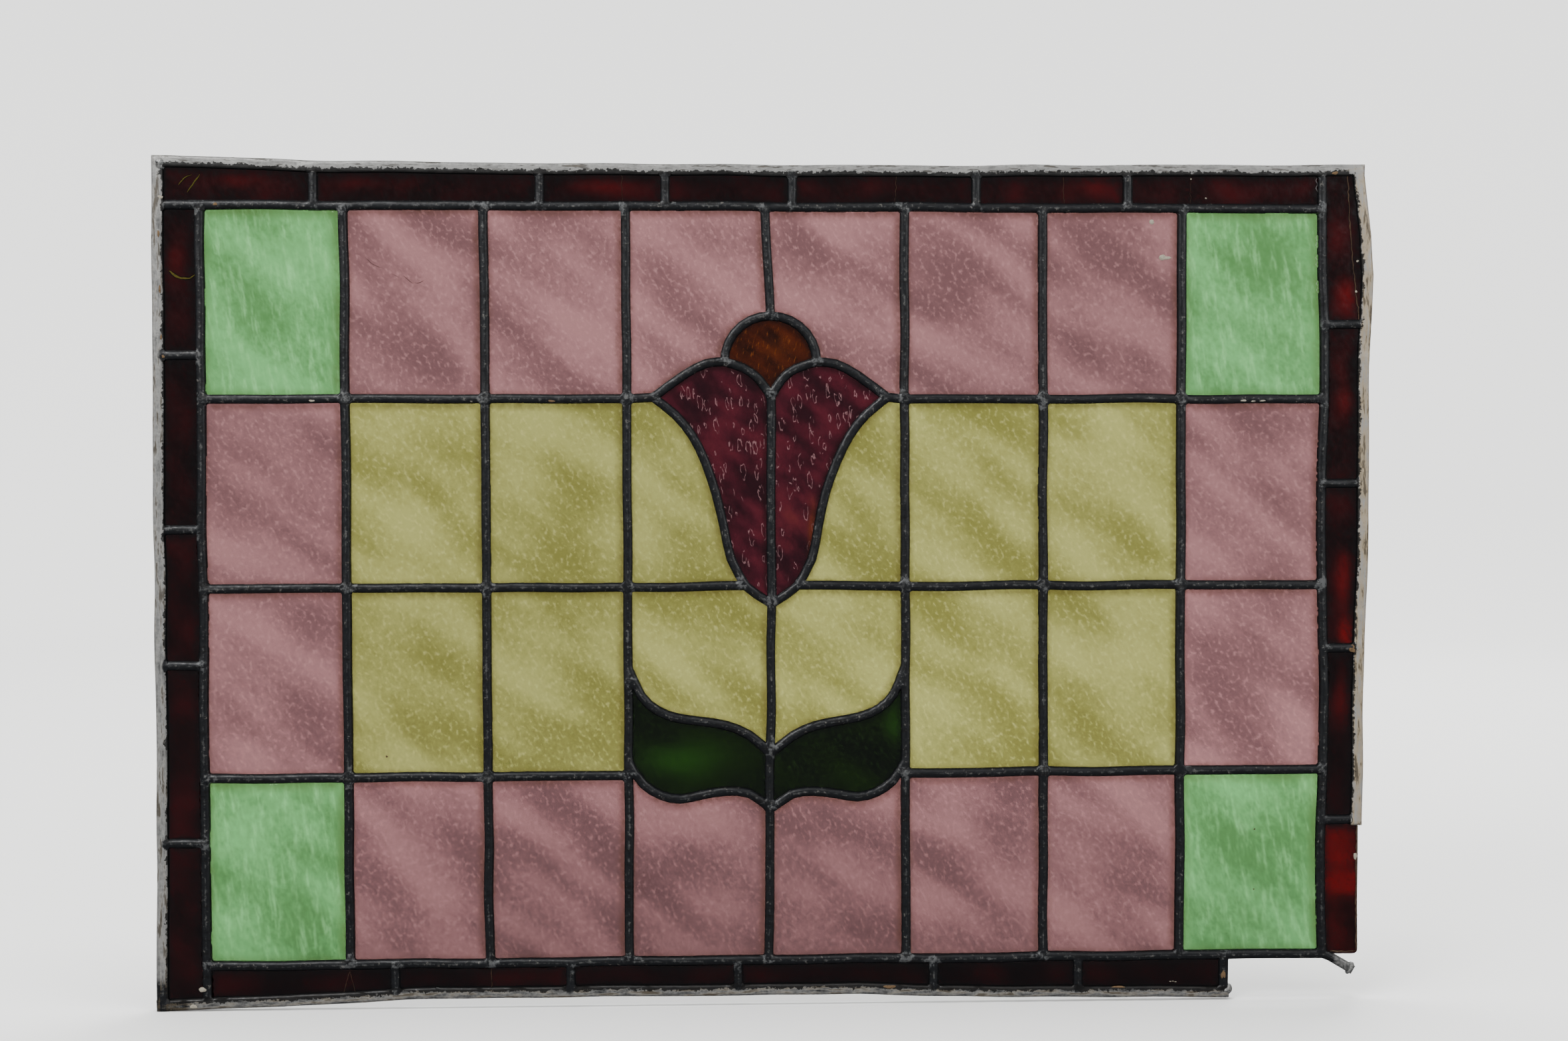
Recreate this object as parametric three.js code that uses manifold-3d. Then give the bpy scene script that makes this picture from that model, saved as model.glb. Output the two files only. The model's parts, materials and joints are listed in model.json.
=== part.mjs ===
// A leaded light: a salvaged window panel of coloured glass held in lead cames, with a
// tulip in its middle and a narrow ruby border whose lower right corner has broken away.
//
// It is drawn flat, as a glazier draws a cartoon: x to the right, y up, the front of the
// panel towards +z, and the crossing of the middle lead lines at (0, 0). At the end it is
// stood upright, with the front towards -Y and the origin under its bottom edge.
//
// Leads: H-shaped cames are swept along their centre lines and joined into one soldered
// lattice. Panes: the sheet inside the outline is shared out among the fields that the
// lead lines enclose, and cut back by a kerf along every line, so that each pane sits in
// its channels with a little clearance.

import * as THREE from 'three';
import { mergeVertices } from 'three/addons/utils/BufferGeometryUtils.js';
import Module from 'manifold-3d';

// ---------------------------------------------------------------- sizes, in millimetres

const columnPitch = 96.6; // between neighbouring upright lead lines
const rowPitch = 130.4; // between neighbouring level lead lines
const lastColumn = 8;
const middleColumn = 4;
const lastRow = 4;
const gridAboveSill = 285.2; // from the bottom edge's flat underside to the middle crossing

// How far the end points of each hand-set lead line have wandered off the even grid.
const columnLean = [
  { top: -0.2, foot: -0.9 }, { top: 0.9, foot: 0.9 }, { top: -0.2, foot: 0.3 },
  { top: 0.4, foot: 0.7 }, { top: -0.8, foot: 0.9 }, { top: -0.9, foot: -0.1 },
  { top: -1.6, foot: -0.4 }, { top: -1.3, foot: -1.3 }, { top: 0.8, foot: 2.9 },
];
const rowLean = [
  { left: 2.0, right: -0.2 }, { left: 0, right: -1.5 }, { left: 0.1, right: -0.4 },
  { left: -0.6, right: 0.3 }, { left: -0.2, right: 0.5 },
];

const glassThickness = 3;
const glassClearance = 0.5; // from a pane's edge to the lead beside it
const cameThickness = 6.8; // over both flanges
const channelWidth = 3.8; // between a came's two flanges
const innerCame = { face: 6.4, crown: 4, web: 1.6 }; // rounded, with glass on both sides
const edgeCame = { face: 8, crown: 7, wall: 1.5 }; // flat, and closed along its outside
const endSetback = 0.8; // from a came's end to the outside of the panel

// The outside of the panel, a little out of true, with the inside always on the left. The
// sill has a level stretch about its middle and sags towards both ends; the right side
// bulges beside the broken ruby strip and stops where the corner is lost.
const sillEdge = [[-421.8, -291.8], [-339, -289.4], [-230, -285.2], [60, -285.2], [160, -288.4], [323.6, -290.4]];
const rightEdge = [
  [417, -170], [417.4, -75], [420.3, 41], [419.8, 165], [422.6, 215], [421, 243], [417.6, 271], [415, 291],
];
const topEdge = [[416, 291], [270, 291], [113, 290], [-142, 291.3], [-305, 293], [-386, 295.5], [-418, 296]];
const leftEdge = [[-418, 296], [-420, 67], [-420, -138], [-421.8, -291.8]];
const bareGlass = { x: 414.4, y: -260.4 }; // the corner of the last right-hand strip, bare of lead

// Where the border's short cames stand, by x along the top and sill, by y up the sides.
const topDividers = [-309, -155.6, -68.8, 18, 145.1, 250.2];
const leftDividers = [160.4, 40.9, -52.8, -175.4];
const rightDividers = [180.5, 70.1, -45.2, -165.9];
const sillDividers = [-258, -136.8, -20.5, 115.6, 216.9, 319.6];

// The tulip, as its right half about its own upright centre line.
const tulipMiddle = 3.2; // its centre line, from the middle of the grid
const domeRadius = 31.8;
const domeFoot = [domeRadius, 155];
const petalNotch = [0, 131.5]; // the V between the petals
const petalTip = [81, 131];
const petalWaist = [18, 0.5]; // where the middle row line meets the petal
const petalFoot = [0, -12];
const petalInner = [petalNotch, [8, 143.5], [18, 150.7], domeFoot];
const petalShoulder = [domeFoot, [45, 153.8], [60.5, 146], petalTip];
const petalFlank = [petalTip, [66, 119], [54, 104], [45, 86], [38, 65], [33, 42], [28, 19], petalWaist];
const petalHeel = [petalWaist, [10.5, -5.5], petalFoot];

// A leaf, from the stem to the next lead line, drawn over one column pitch.
const leafTop = [[0, -116], [15, -103.5], [31, -96.5], [48, -93.5], [64, -91], [77, -86], [88, -76], [96.6, -56]];
const leafUnderside = [
  [0, -155], [15, -144.3], [31, -142.8], [47, -145], [62, -147.5], [75, -144.5], [87, -136.5], [96.6, -122],
];

const stub = [[394, -262], [411.5, -272]]; // the lowest row line's end, bent down past the break

const domeSteps = 7; // straight runs in each quarter of the dome
const stepsPerSpan = 2; // straight runs between the named points of a curve
const beyond = 20; // how far a border field is drawn past the outline that trims it
const flatness = 0.003; // facets out of plane by less than this are drawn as one

// ---------------------------------------------------------------- finishes

const leadFinish = { color: 0x2f3338, roughness: 0.6, metalness: 0.8 };
const glassColours = {
  green: 0x7fb083,
  mauve: 0x96716f,
  yellow: 0xa9a46c,
  ruby: 0x4a0d10,
  petal: 0x56172c,
  amber: 0x5a220b,
  leaf: 0x0f2a10,
};

// ---------------------------------------------------------------- lines of the cartoon

const point = ([x, y]) => new THREE.Vector2(x, y);
const levelLine = (y) => [point([-1, y]), point([1, y])];
const uprightLine = (x) => [point([x, -1]), point([x, 1])];

/** The point where two straight lines, each given by two of its points, cross. */
function crossing([a, b], [c, d]) {
  const along = b.clone().sub(a);
  const across = d.clone().sub(c);
  return a.clone().addScaledVector(along, c.clone().sub(a).cross(across) / along.cross(across));
}

/** The point where a straight line comes to one side of the outline. */
function meeting(line, edge) {
  const corners = edge.map(point);
  const hits = corners.slice(1).map((end, i) => ({ start: corners[i], end, hit: crossing(line, [corners[i], end]) }));
  return hits.find(({ start, end, hit }) => hit.clone().sub(start).dot(hit.clone().sub(end)) <= 0).hit;
}

/** One upright lead line of the grid, from its top to its foot. */
function columnLine(column) {
  const x = (column - middleColumn) * columnPitch;
  const { top, foot } = columnLean[column];
  const reach = rowPitch * lastRow / 2;
  return [point([x + top, reach]), point([x + foot, -reach])];
}

/** One level lead line of the grid, from left to right. */
function rowLine(row) {
  const y = (lastRow / 2 - row) * rowPitch;
  const { left, right } = rowLean[row];
  const reach = columnPitch * lastColumn / 2;
  return [point([-reach, y + left]), point([reach, y + right])];
}

const grid = (column, row) => crossing(columnLine(column), rowLine(row));

/** A smooth line through the named points, drawn as short straight runs. */
const smooth = (points) => new THREE.SplineCurve(points).getPoints((points.length - 1) * stepsPerSpan);

/** A curve of the tulip's right half, set on the chosen side of its centre line. */
const tulipCurve = (points, side) => smooth(points.map(([x, y]) => point([tulipMiddle + side * x, y])));

const tulipFoot = point([tulipMiddle, petalFoot[1]]);
const notch = point([tulipMiddle, petalNotch[1]]);
const stem = [tulipFoot, grid(middleColumn, lastRow)];

/** An edge of a leaf, from the stem to the lead line beside it. */
function leafCurve(points, side) {
  const end = crossing(columnLine(middleColumn + side), levelLine(points.at(-1)[1]));
  const stretch = Math.abs(end.x - tulipMiddle) / columnPitch;
  const curve = tulipCurve(points.map(([x, y]) => [x * stretch, y]), side);
  return [crossing(stem, levelLine(points[0][1])), ...curve.slice(1)];
}

/** A quarter of the dome over the petals, from its crown down to its foot. */
function domeCurve(side) {
  const arc = new THREE.EllipseCurve(
    tulipMiddle, domeFoot[1], domeRadius, domeRadius, Math.PI / 2, side > 0 ? 0 : Math.PI, side > 0);
  return arc.getPoints(domeSteps);
}

/** Every curve of the tulip on one side of its centre line. */
const tulipHalf = (side) => ({
  dome: domeCurve(side),
  inner: tulipCurve(petalInner, side),
  shoulder: tulipCurve(petalShoulder, side),
  flank: tulipCurve(petalFlank, side),
  heel: tulipCurve(petalHeel, side),
  leafTop: leafCurve(leafTop, side),
  leafUnderside: leafCurve(leafUnderside, side),
});
const halves = { [-1]: tulipHalf(-1), 1: tulipHalf(1) };

/** Joins runs of points into one line, without repeating the points they share. */
function chain(...runs) {
  const same = (p, q) => p.distanceTo(q) < 0.01;
  const points = runs.flat().filter((p, i, all) => i === 0 || !same(p, all[i - 1]));
  return same(points[0], points.at(-1)) ? points.slice(0, -1) : points;
}

// ---------------------------------------------------------------- solids

const wasm = await Module();
wasm.setup();

/** A flat lead line that ExtrudeGeometry follows point by point, mitred at each bend. */
class LeadLine extends THREE.Curve {
  constructor(points) {
    super();
    this.points = points;
  }

  getSpacedPoints() {
    return this.points.map(({ x, y }) => new THREE.Vector3(x, y, 0));
  }

  computeFrenetFrames() {
    const frames = { tangents: [], normals: [], binormals: [] };
    const runs = this.points.slice(1).map((end, i) => end.clone().sub(this.points[i]).normalize());
    this.points.forEach((_, i) => {
      const after = runs[Math.min(i, runs.length - 1)];
      const mean = runs[Math.max(i - 1, 0)].clone().add(after).normalize();
      const mitre = 1 / mean.dot(after);
      frames.tangents.push(new THREE.Vector3(mean.x, mean.y, 0));
      frames.normals.push(new THREE.Vector3(0, 0, -1));
      frames.binormals.push(new THREE.Vector3(-mean.y * mitre, mean.x * mitre, 0));
    });
    return frames;
  }
}

/** Turns a closed three.js geometry into a solid that can be joined and cut. */
function solid(geometry) {
  geometry.deleteAttribute('normal');
  geometry.deleteAttribute('uv');
  const merged = mergeVertices(geometry);
  return new wasm.Manifold(new wasm.Mesh({
    numProp: 3,
    vertProperties: new Float32Array(merged.attributes.position.array),
    triVerts: new Uint32Array(merged.index.array),
  }));
}

/** Turns a solid back into a three.js geometry, with facets that lie in one plane merged. */
function geometryOf(body) {
  const { vertProperties, triVerts } = body.asOriginal().simplify(flatness).getMesh();
  const geometry = new THREE.BufferGeometry();
  geometry.setAttribute('position', new THREE.BufferAttribute(vertProperties, 3));
  geometry.setIndex(new THREE.BufferAttribute(triVerts, 1));
  geometry.computeVertexNormals();
  return geometry;
}

const joined = (bodies) => bodies.reduce((whole, body) => whole.add(body));

/** Sweeps a section, given as (height, distance to the left) pairs, along a lead line. */
function sweep(points, section) {
  const steps = points.length - 1;
  const shape = new THREE.Shape(section.map(point));
  return solid(new THREE.ExtrudeGeometry(shape, { steps, extrudePath: new LeadLine(points) }));
}

/** A flat sheet of glass of the given outline, centred on the leads' mid-plane. */
function sheet(outline) {
  const geometry = new THREE.ExtrudeGeometry(new THREE.Shape(outline), { depth: glassThickness, bevelEnabled: false });
  return solid(geometry.translate(0, 0, -glassThickness / 2));
}

const front = cameThickness / 2;
const channelSide = channelWidth / 2;

/** The H of an inner came, from one quarter of it mirrored to the other three. */
function innerSection({ face, crown, web }) {
  const quarter = (up, left) => [
    [up * front, left * crown / 2],
    [up * channelSide, left * face / 2],
    [up * channelSide, left * web / 2],
  ];
  return [...quarter(1, 1), ...quarter(-1, 1).reverse(), ...quarter(-1, -1), ...quarter(1, -1).reverse()];
}

/** The U of the edge came, which lies to the left of its line. */
function edgeSection({ face, crown, wall }) {
  const leg = (up) => [
    [up * front, 0],
    [up * front, crown],
    [up * channelSide, face],
    [up * channelSide, wall],
  ];
  return [...leg(1), ...leg(-1).reverse()];
}

/** The slot that a came's web cuts in a sheet of glass, with the glass's clearance. */
const kerfSection = (from, to) => [
  [front, from - glassClearance], [front, to + glassClearance],
  [-front, to + glassClearance], [-front, from - glassClearance],
];

// ---------------------------------------------------------------- lead lines

/** A line whose end lies on the outline, stopped just inside it. */
function setBack(start, end) {
  const towards = start.clone().sub(end).setLength(endSetback);
  return [start, end.clone().add(towards)];
}

/** The grid's upright and level lines, broken where the tulip takes their place. */
function gridLines() {
  const columns = [1, 2, 3, 5, 6, 7].map((column) => [grid(column, 0), grid(column, lastRow)]);
  const besideTulip = [-1, 1].flatMap((side) => {
    const outer = side < 0 ? 0 : lastColumn;
    const inner = middleColumn + side;
    const { flank } = halves[side];
    return [
      [grid(outer, 1), grid(inner, 1), flank[0]],
      [grid(outer, 2), grid(inner, 2), flank.at(-1)],
      [grid(outer, 3), grid(inner, 3)],
    ];
  });
  return [
    ...columns,
    ...besideTulip,
    setBack(grid(0, 0), meeting(columnLine(0), sillEdge)),
    setBack(grid(lastColumn, lastRow), meeting(columnLine(lastColumn), topEdge)),
    setBack(grid(lastColumn, 0), meeting(rowLine(0), leftEdge)),
    [grid(0, lastRow), grid(lastColumn, lastRow), ...stub.map(point)],
  ];
}

/** The short cames that divide the border into strips. */
function dividerLines() {
  const across = (at, line, edge) => setBack(crossing(line, at), meeting(at, edge));
  return [
    ...topDividers.map((x) => across(uprightLine(x), rowLine(0), topEdge)),
    ...sillDividers.map((x) => across(uprightLine(x), rowLine(lastRow), sillEdge)),
    ...leftDividers.map((y) => across(levelLine(y), columnLine(0), leftEdge)),
    ...rightDividers.map((y) => across(levelLine(y), columnLine(lastColumn), rightEdge)),
  ];
}

/** The curved cames of the tulip and its leaves, with its centre line and stem. */
function tulipLines() {
  const curves = [-1, 1].flatMap((side) => {
    const { inner, shoulder, flank, heel, leafTop: top, leafUnderside: underside } = halves[side];
    return [chain(inner, shoulder), chain(flank, heel), top, underside];
  });
  const dome = chain([...halves[-1].dome].reverse(), halves[1].dome);
  const crown = halves[1].dome[0];
  return [dome, [grid(middleColumn, 0), crown], [notch, ...stem], ...curves];
}

const innerLines = [...gridLines(), ...dividerLines(), ...tulipLines()];
const edgeLines = [sillEdge, rightEdge, topEdge, leftEdge].map((edge) => edge.map(point));

const leads = joined([
  ...innerLines.map((line) => sweep(line, innerSection(innerCame))),
  ...edgeLines.map((line) => sweep(line, edgeSection(edgeCame))),
]);
const kerfs = joined([
  ...innerLines.map((line) => sweep(line, kerfSection(-innerCame.web / 2, innerCame.web / 2))),
  ...edgeLines.map((line) => sweep(line, kerfSection(0, edgeCame.wall))),
]);

// ---------------------------------------------------------------- fields of glass

/** The outline of the whole sheet, less the lost corner. */
const sheetOutline = chain(
  sillEdge.slice(0, -1).map(point),
  meeting(uprightLine(sillDividers.at(-1)), sillEdge),
  crossing(uprightLine(sillDividers.at(-1)), rowLine(lastRow)),
  grid(lastColumn, lastRow),
  point([bareGlass.x, bareGlass.y]),
  point([bareGlass.x, rightDividers.at(-1)]),
  meeting(levelLine(rightDividers.at(-1)), rightEdge),
  rightEdge.slice(1).map(point),
  topEdge.slice(1).map(point),
  leftEdge.slice(1).map(point),
);
const wholeSheet = sheet(sheetOutline);

/** The field between two columns and two rows, shaped where the tulip borders on it. */
function fieldOutline(row, column) {
  const side = column === middleColumn ? -1 : 1;
  if (column !== middleColumn && column !== middleColumn + 1) {
    return [grid(column - 1, row - 1), grid(column, row - 1), grid(column, row), grid(column - 1, row)];
  }
  const outer = middleColumn + side;
  const half = halves[side];
  const outlines = [
    [grid(outer, 0), grid(middleColumn, 0), half.dome, half.shoulder, grid(outer, 1)],
    [grid(outer, 1), half.flank, grid(outer, 2)],
    [grid(outer, 2), half.heel, half.leafTop],
    [[...half.leafUnderside].reverse(), stem[1], grid(outer, lastRow)],
  ];
  return chain(...outlines[row - 1]);
}

/** Which glass a field of the background holds. */
function fieldGlass(row, column) {
  const outerRow = row === 1 || row === lastRow;
  const outerColumn = column === 1 || column === lastColumn;
  if (outerRow && outerColumn) return 'green';
  return outerRow || outerColumn ? 'mauve' : 'yellow';
}

/** The panes of the background, row by row. */
function fieldPanes() {
  const panes = [];
  for (let row = 1; row <= lastRow; row += 1) {
    for (let column = 1; column <= lastColumn; column += 1) {
      const glass = fieldGlass(row, column);
      panes.push({ name: `${glass}_r${row}_c${column}`, glass, outline: fieldOutline(row, column) });
    }
  }
  return panes;
}

/** The panes of the tulip: its amber heart, two petals and two leaves. */
function tulipPanes() {
  const { [-1]: left, 1: right } = halves;
  const petal = ({ inner, shoulder, flank, heel }) => chain(inner, shoulder, flank, heel);
  const leaf = ({ leafTop: top, leafUnderside: underside }) => chain(top, [...underside].reverse());
  const heart = chain([...left.dome].reverse(), right.dome, [...right.inner].reverse(), left.inner);
  return [
    { name: 'tulip_heart', glass: 'amber', outline: heart },
    { name: 'petal_left', glass: 'petal', outline: petal(left) },
    { name: 'petal_right', glass: 'petal', outline: petal(right) },
    { name: 'leaf_left', glass: 'leaf', outline: leaf(left) },
    { name: 'leaf_right', glass: 'leaf', outline: leaf(right) },
  ];
}

/** The ruby strips along one side, between its cross lines, from its lead line outwards. */
function borderPanes(side, line, crossLines, outwards) {
  return crossLines.slice(1).map((end, i) => {
    const [a, b] = [crossing(line, crossLines[i]), crossing(line, end)];
    const [far, farther] = [b, a].map((corner) => corner.clone().add(outwards));
    return { name: `ruby_${side}_${i + 1}`, glass: 'ruby', outline: [a, b, far, farther] };
  });
}

const sideLine = ([end, other]) => [point(end), point(other)];
const reach = edgeCame.face * 4 + beyond;
const border = [
  ...borderPanes('top', rowLine(0),
    [sideLine(leftEdge), ...topDividers.map(uprightLine), columnLine(lastColumn)], point([0, reach])),
  ...borderPanes('left', columnLine(0),
    [rowLine(0), ...leftDividers.map(levelLine), levelLine(sillEdge[0][1] - beyond)], point([-reach, 0])),
  ...borderPanes('sill', rowLine(lastRow),
    [columnLine(0), ...sillDividers.map(uprightLine)], point([0, -reach])),
  ...borderPanes('right', columnLine(lastColumn),
    [levelLine(topEdge[0][1] + beyond), ...rightDividers.map(levelLine), levelLine(bareGlass.y)], point([reach, 0])),
];
const cementedStrip = 'ruby_top_4'; // held fast by its cement, and one solid with the leads

// ---------------------------------------------------------------- the panel

/** A named mesh of one solid. */
function piece(name, body, finish) {
  const mesh = new THREE.Mesh(geometryOf(body), new THREE.MeshStandardMaterial(finish));
  mesh.name = name;
  return mesh;
}

const cartoon = new THREE.Group();
for (const { name, glass, outline } of [...fieldPanes(), ...tulipPanes(), ...border]) {
  const field = wholeSheet.intersect(sheet(outline));
  if (name === cementedStrip) {
    cartoon.add(piece('lead_cames', leads.add(field), leadFinish));
  } else {
    cartoon.add(piece(name, field.subtract(kerfs), { color: glassColours[glass], roughness: 0.15, metalness: 0 }));
  }
}
cartoon.position.y = gridAboveSill;

const panel = new THREE.Group();
panel.add(cartoon);
panel.rotation.x = Math.PI / 2;

export default panel;
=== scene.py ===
"""The looks of a leaded light: coloured glass held in weathered lead, with a tulip in the middle.

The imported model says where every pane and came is. This script cuts the outlines that it needs
out of those solids, works each of them up into a fine surface, and gives it its finish: rolled
cathedral glass, hammered antique glass, flashed ruby glass and patinated lead.

Drawing coordinates are millimetres in the plane of the panel, u to the right and v upwards, with
the panel's origin under the middle of its sill. The front of the panel faces -Y.
"""

from __future__ import annotations

import json
import logging
import math
from dataclasses import dataclass, field
from enum import Enum
from typing import Any, Iterable

import bpy
import numpy as np
from mathutils import Euler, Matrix, Quaternion, Vector, geometry

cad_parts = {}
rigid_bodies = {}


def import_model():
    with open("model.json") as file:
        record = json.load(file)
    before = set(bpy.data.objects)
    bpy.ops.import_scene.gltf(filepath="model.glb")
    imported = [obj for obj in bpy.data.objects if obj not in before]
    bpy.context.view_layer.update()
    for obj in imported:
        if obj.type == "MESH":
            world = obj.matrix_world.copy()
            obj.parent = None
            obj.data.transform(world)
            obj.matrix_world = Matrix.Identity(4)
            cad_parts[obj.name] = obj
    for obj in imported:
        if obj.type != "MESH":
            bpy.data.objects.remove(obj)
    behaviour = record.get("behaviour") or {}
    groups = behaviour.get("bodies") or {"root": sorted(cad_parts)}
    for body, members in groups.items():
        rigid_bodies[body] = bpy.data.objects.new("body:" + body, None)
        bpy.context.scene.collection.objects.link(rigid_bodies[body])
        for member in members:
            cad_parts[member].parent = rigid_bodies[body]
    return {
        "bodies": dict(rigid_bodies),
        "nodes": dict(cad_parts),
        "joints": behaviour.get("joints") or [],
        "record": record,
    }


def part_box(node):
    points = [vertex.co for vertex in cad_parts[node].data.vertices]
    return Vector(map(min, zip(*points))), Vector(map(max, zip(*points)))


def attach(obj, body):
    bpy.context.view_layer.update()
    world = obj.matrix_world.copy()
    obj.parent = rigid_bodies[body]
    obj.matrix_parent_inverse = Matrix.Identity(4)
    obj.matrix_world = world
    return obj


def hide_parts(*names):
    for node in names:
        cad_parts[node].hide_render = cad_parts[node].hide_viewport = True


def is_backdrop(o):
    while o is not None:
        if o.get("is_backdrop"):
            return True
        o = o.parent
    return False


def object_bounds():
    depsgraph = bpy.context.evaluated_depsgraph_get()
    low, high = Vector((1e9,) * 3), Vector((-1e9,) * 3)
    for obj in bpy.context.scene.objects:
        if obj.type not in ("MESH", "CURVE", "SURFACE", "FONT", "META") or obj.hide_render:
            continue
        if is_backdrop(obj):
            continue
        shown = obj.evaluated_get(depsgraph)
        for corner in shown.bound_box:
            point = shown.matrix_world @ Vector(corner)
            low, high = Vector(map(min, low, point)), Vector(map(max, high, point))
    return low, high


LOG = logging.getLogger("leaded_light")
MM = 0.001  # metres in a millimetre

Points = np.ndarray
Colour = tuple[float, float, float, float]


# ---------------------------------------------------------------- outlines


def unit(vectors: Points) -> Points:
    """Scales each row of vectors to length one."""
    return vectors / np.maximum(np.linalg.norm(vectors, axis=1, keepdims=True), 1e-12)


def nearest(points: Points, starts: Points, ends: Points) -> Points:
    """Finds the shortest way from each point to a set of straight runs.

    Args:
        points: The places to measure from.
        starts: Where each run starts.
        ends: Where each run ends.

    Returns:
        One vector for each point, which leads to the nearest place on the runs.
    """
    along = ends - starts
    length2 = np.maximum((along**2).sum(1), 1e-12)
    ways = []
    for block in np.array_split(points, max(1, len(points) // 2000)):
        to_start = starts[None] - block[:, None]
        share = np.clip(-(to_start * along).sum(2) / length2, 0, 1)
        way = to_start + share[..., None] * along
        best = (way**2).sum(2).argmin(1)
        ways.append(way[np.arange(len(block)), best])
    return np.concatenate(ways)


@dataclass(frozen=True)
class Outline:
    """A closed line in the plane of the panel.

    Attributes:
        points: Its corners in order, one row each.
    """

    points: Points

    @property
    def ends(self) -> Points:
        """The far end of the run that starts at each corner."""
        return np.roll(self.points, -1, axis=0)

    @property
    def area(self) -> float:
        """The area inside, positive if the line runs counter-clockwise."""
        (u, v), (u2, v2) = self.points.T, self.ends.T
        return float((u * v2 - u2 * v).sum() / 2)

    def wound(self, counter_clockwise: bool) -> Outline:
        """The same line, run in the given sense."""
        return self if (self.area > 0) == counter_clockwise else Outline(self.points[::-1])

    def right(self) -> Points:
        """Unit vectors that point to the right of the line at each corner.

        Returns:
            One unit vector for each corner.
        """
        run = unit(self.ends - self.points)
        mean = unit(run + np.roll(run, 1, axis=0))
        return np.stack([mean[:, 1], -mean[:, 0]], axis=1)

    def softened(self, step: float, radius: float) -> Outline:
        """Rounds the sharp corners, smooths the shallow bends and divides the long runs.

        Args:
            step: The longest run to leave.
            radius: The radius of a rounded corner.

        Returns:
            The softened line.
        """
        straight_below, shallow_below = math.radians(2), math.radians(35)
        before = self.points - np.roll(self.points, 1, axis=0)
        lengths = np.linalg.norm(before, axis=1)
        kept: list[Points] = []
        for i, corner in enumerate(self.points):
            arriving, leaving = lengths[i], lengths[(i + 1) % len(lengths)]
            into = before[i] / arriving
            out = (self.ends[i] - corner) / leaving
            bend = math.acos(float(np.clip(into @ out, -1, 1)))
            if bend < straight_below:
                kept.append(corner)
                continue
            shallow = bend < shallow_below
            share, places = (0.5, 3) if shallow else (0.42, 5)
            reach = share * min(arriving, leaving)
            if not shallow:
                reach = min(reach, radius * math.tan(bend / 2))
            for t in np.linspace(0, 1, places):
                start, end = corner - into * reach, corner + out * reach
                kept.append((1 - t) ** 2 * start + 2 * t * (1 - t) * corner + t * t * end)
        return Outline(np.array(kept)).thinned().divided(step)

    def thinned(self) -> Outline:
        """The same line without doubled corners."""
        gap = np.linalg.norm(self.ends - self.points, axis=1)
        return Outline(self.points[gap > 1e-4])

    def divided(self, step: float) -> Outline:
        """The same line with no run longer than the step.

        Args:
            step: The longest run to leave, in millimetres.

        Returns:
            The divided line.
        """
        rows = []
        for start, end in zip(self.points, self.ends):
            parts = max(1, math.ceil(float(np.linalg.norm(end - start)) / step))
            rows.append(start + (end - start) * (np.arange(parts) / parts)[:, None])
        return Outline(np.concatenate(rows))

    def holds(self, points: Points) -> np.ndarray:
        """Tells which of the points lie inside the line.

        Args:
            points: The places to test.

        Returns:
            True for each point inside.
        """
        near = ((points > self.points.min(0)) & (points < self.points.max(0))).all(1)
        close = points[near]
        crossings = np.zeros(len(close), bool)
        for (u, v), (u2, v2) in zip(self.points, self.ends):
            spans = (v > close[:, 1]) != (v2 > close[:, 1])
            at = u + (close[:, 1] - v) * (u2 - u) / (v2 - v if v2 != v else 1e-12)
            crossings ^= spans & (close[:, 0] < at)
        inside = np.zeros(len(points), bool)
        inside[near] = crossings
        return inside

    def distance(self, points: Points, reach: float) -> np.ndarray:
        """How far each point is from the line, up to a reach.

        Args:
            points: The places to measure from.
            reach: The longest distance that matters.

        Returns:
            The distance of each point, or the reach where it is further.
        """
        low, high = self.points.min(0) - reach, self.points.max(0) + reach
        near = ((points > low) & (points < high)).all(1)
        distance = np.full(len(points), reach)
        if near.any():
            way = nearest(points[near], self.points, self.ends)
            distance[near] = np.minimum(np.linalg.norm(way, axis=1), reach)
        return distance

    def middle(self) -> Points:
        """The middle of the line's box."""
        return (self.points.min(0) + self.points.max(0)) / 2


def welded(mesh: bpy.types.Mesh) -> tuple[Points, np.ndarray]:
    """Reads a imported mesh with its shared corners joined.

    Args:
        mesh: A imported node's mesh, in metres.

    Returns:
        The corners in millimetres, and the triangles as rows of three corner numbers.
    """
    mesh.calc_loop_triangles()
    corners = np.empty(len(mesh.vertices) * 3, np.float32)
    mesh.vertices.foreach_get("co", corners)
    triangles = np.empty(len(mesh.loop_triangles) * 3, np.int32)
    mesh.loop_triangles.foreach_get("vertices", triangles)
    rounded = np.round(corners.reshape(-1, 3).astype(float) / MM, 3)
    shared, where = np.unique(rounded, axis=0, return_inverse=True)
    return shared, where.reshape(-1)[triangles].reshape(-1, 3)


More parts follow.
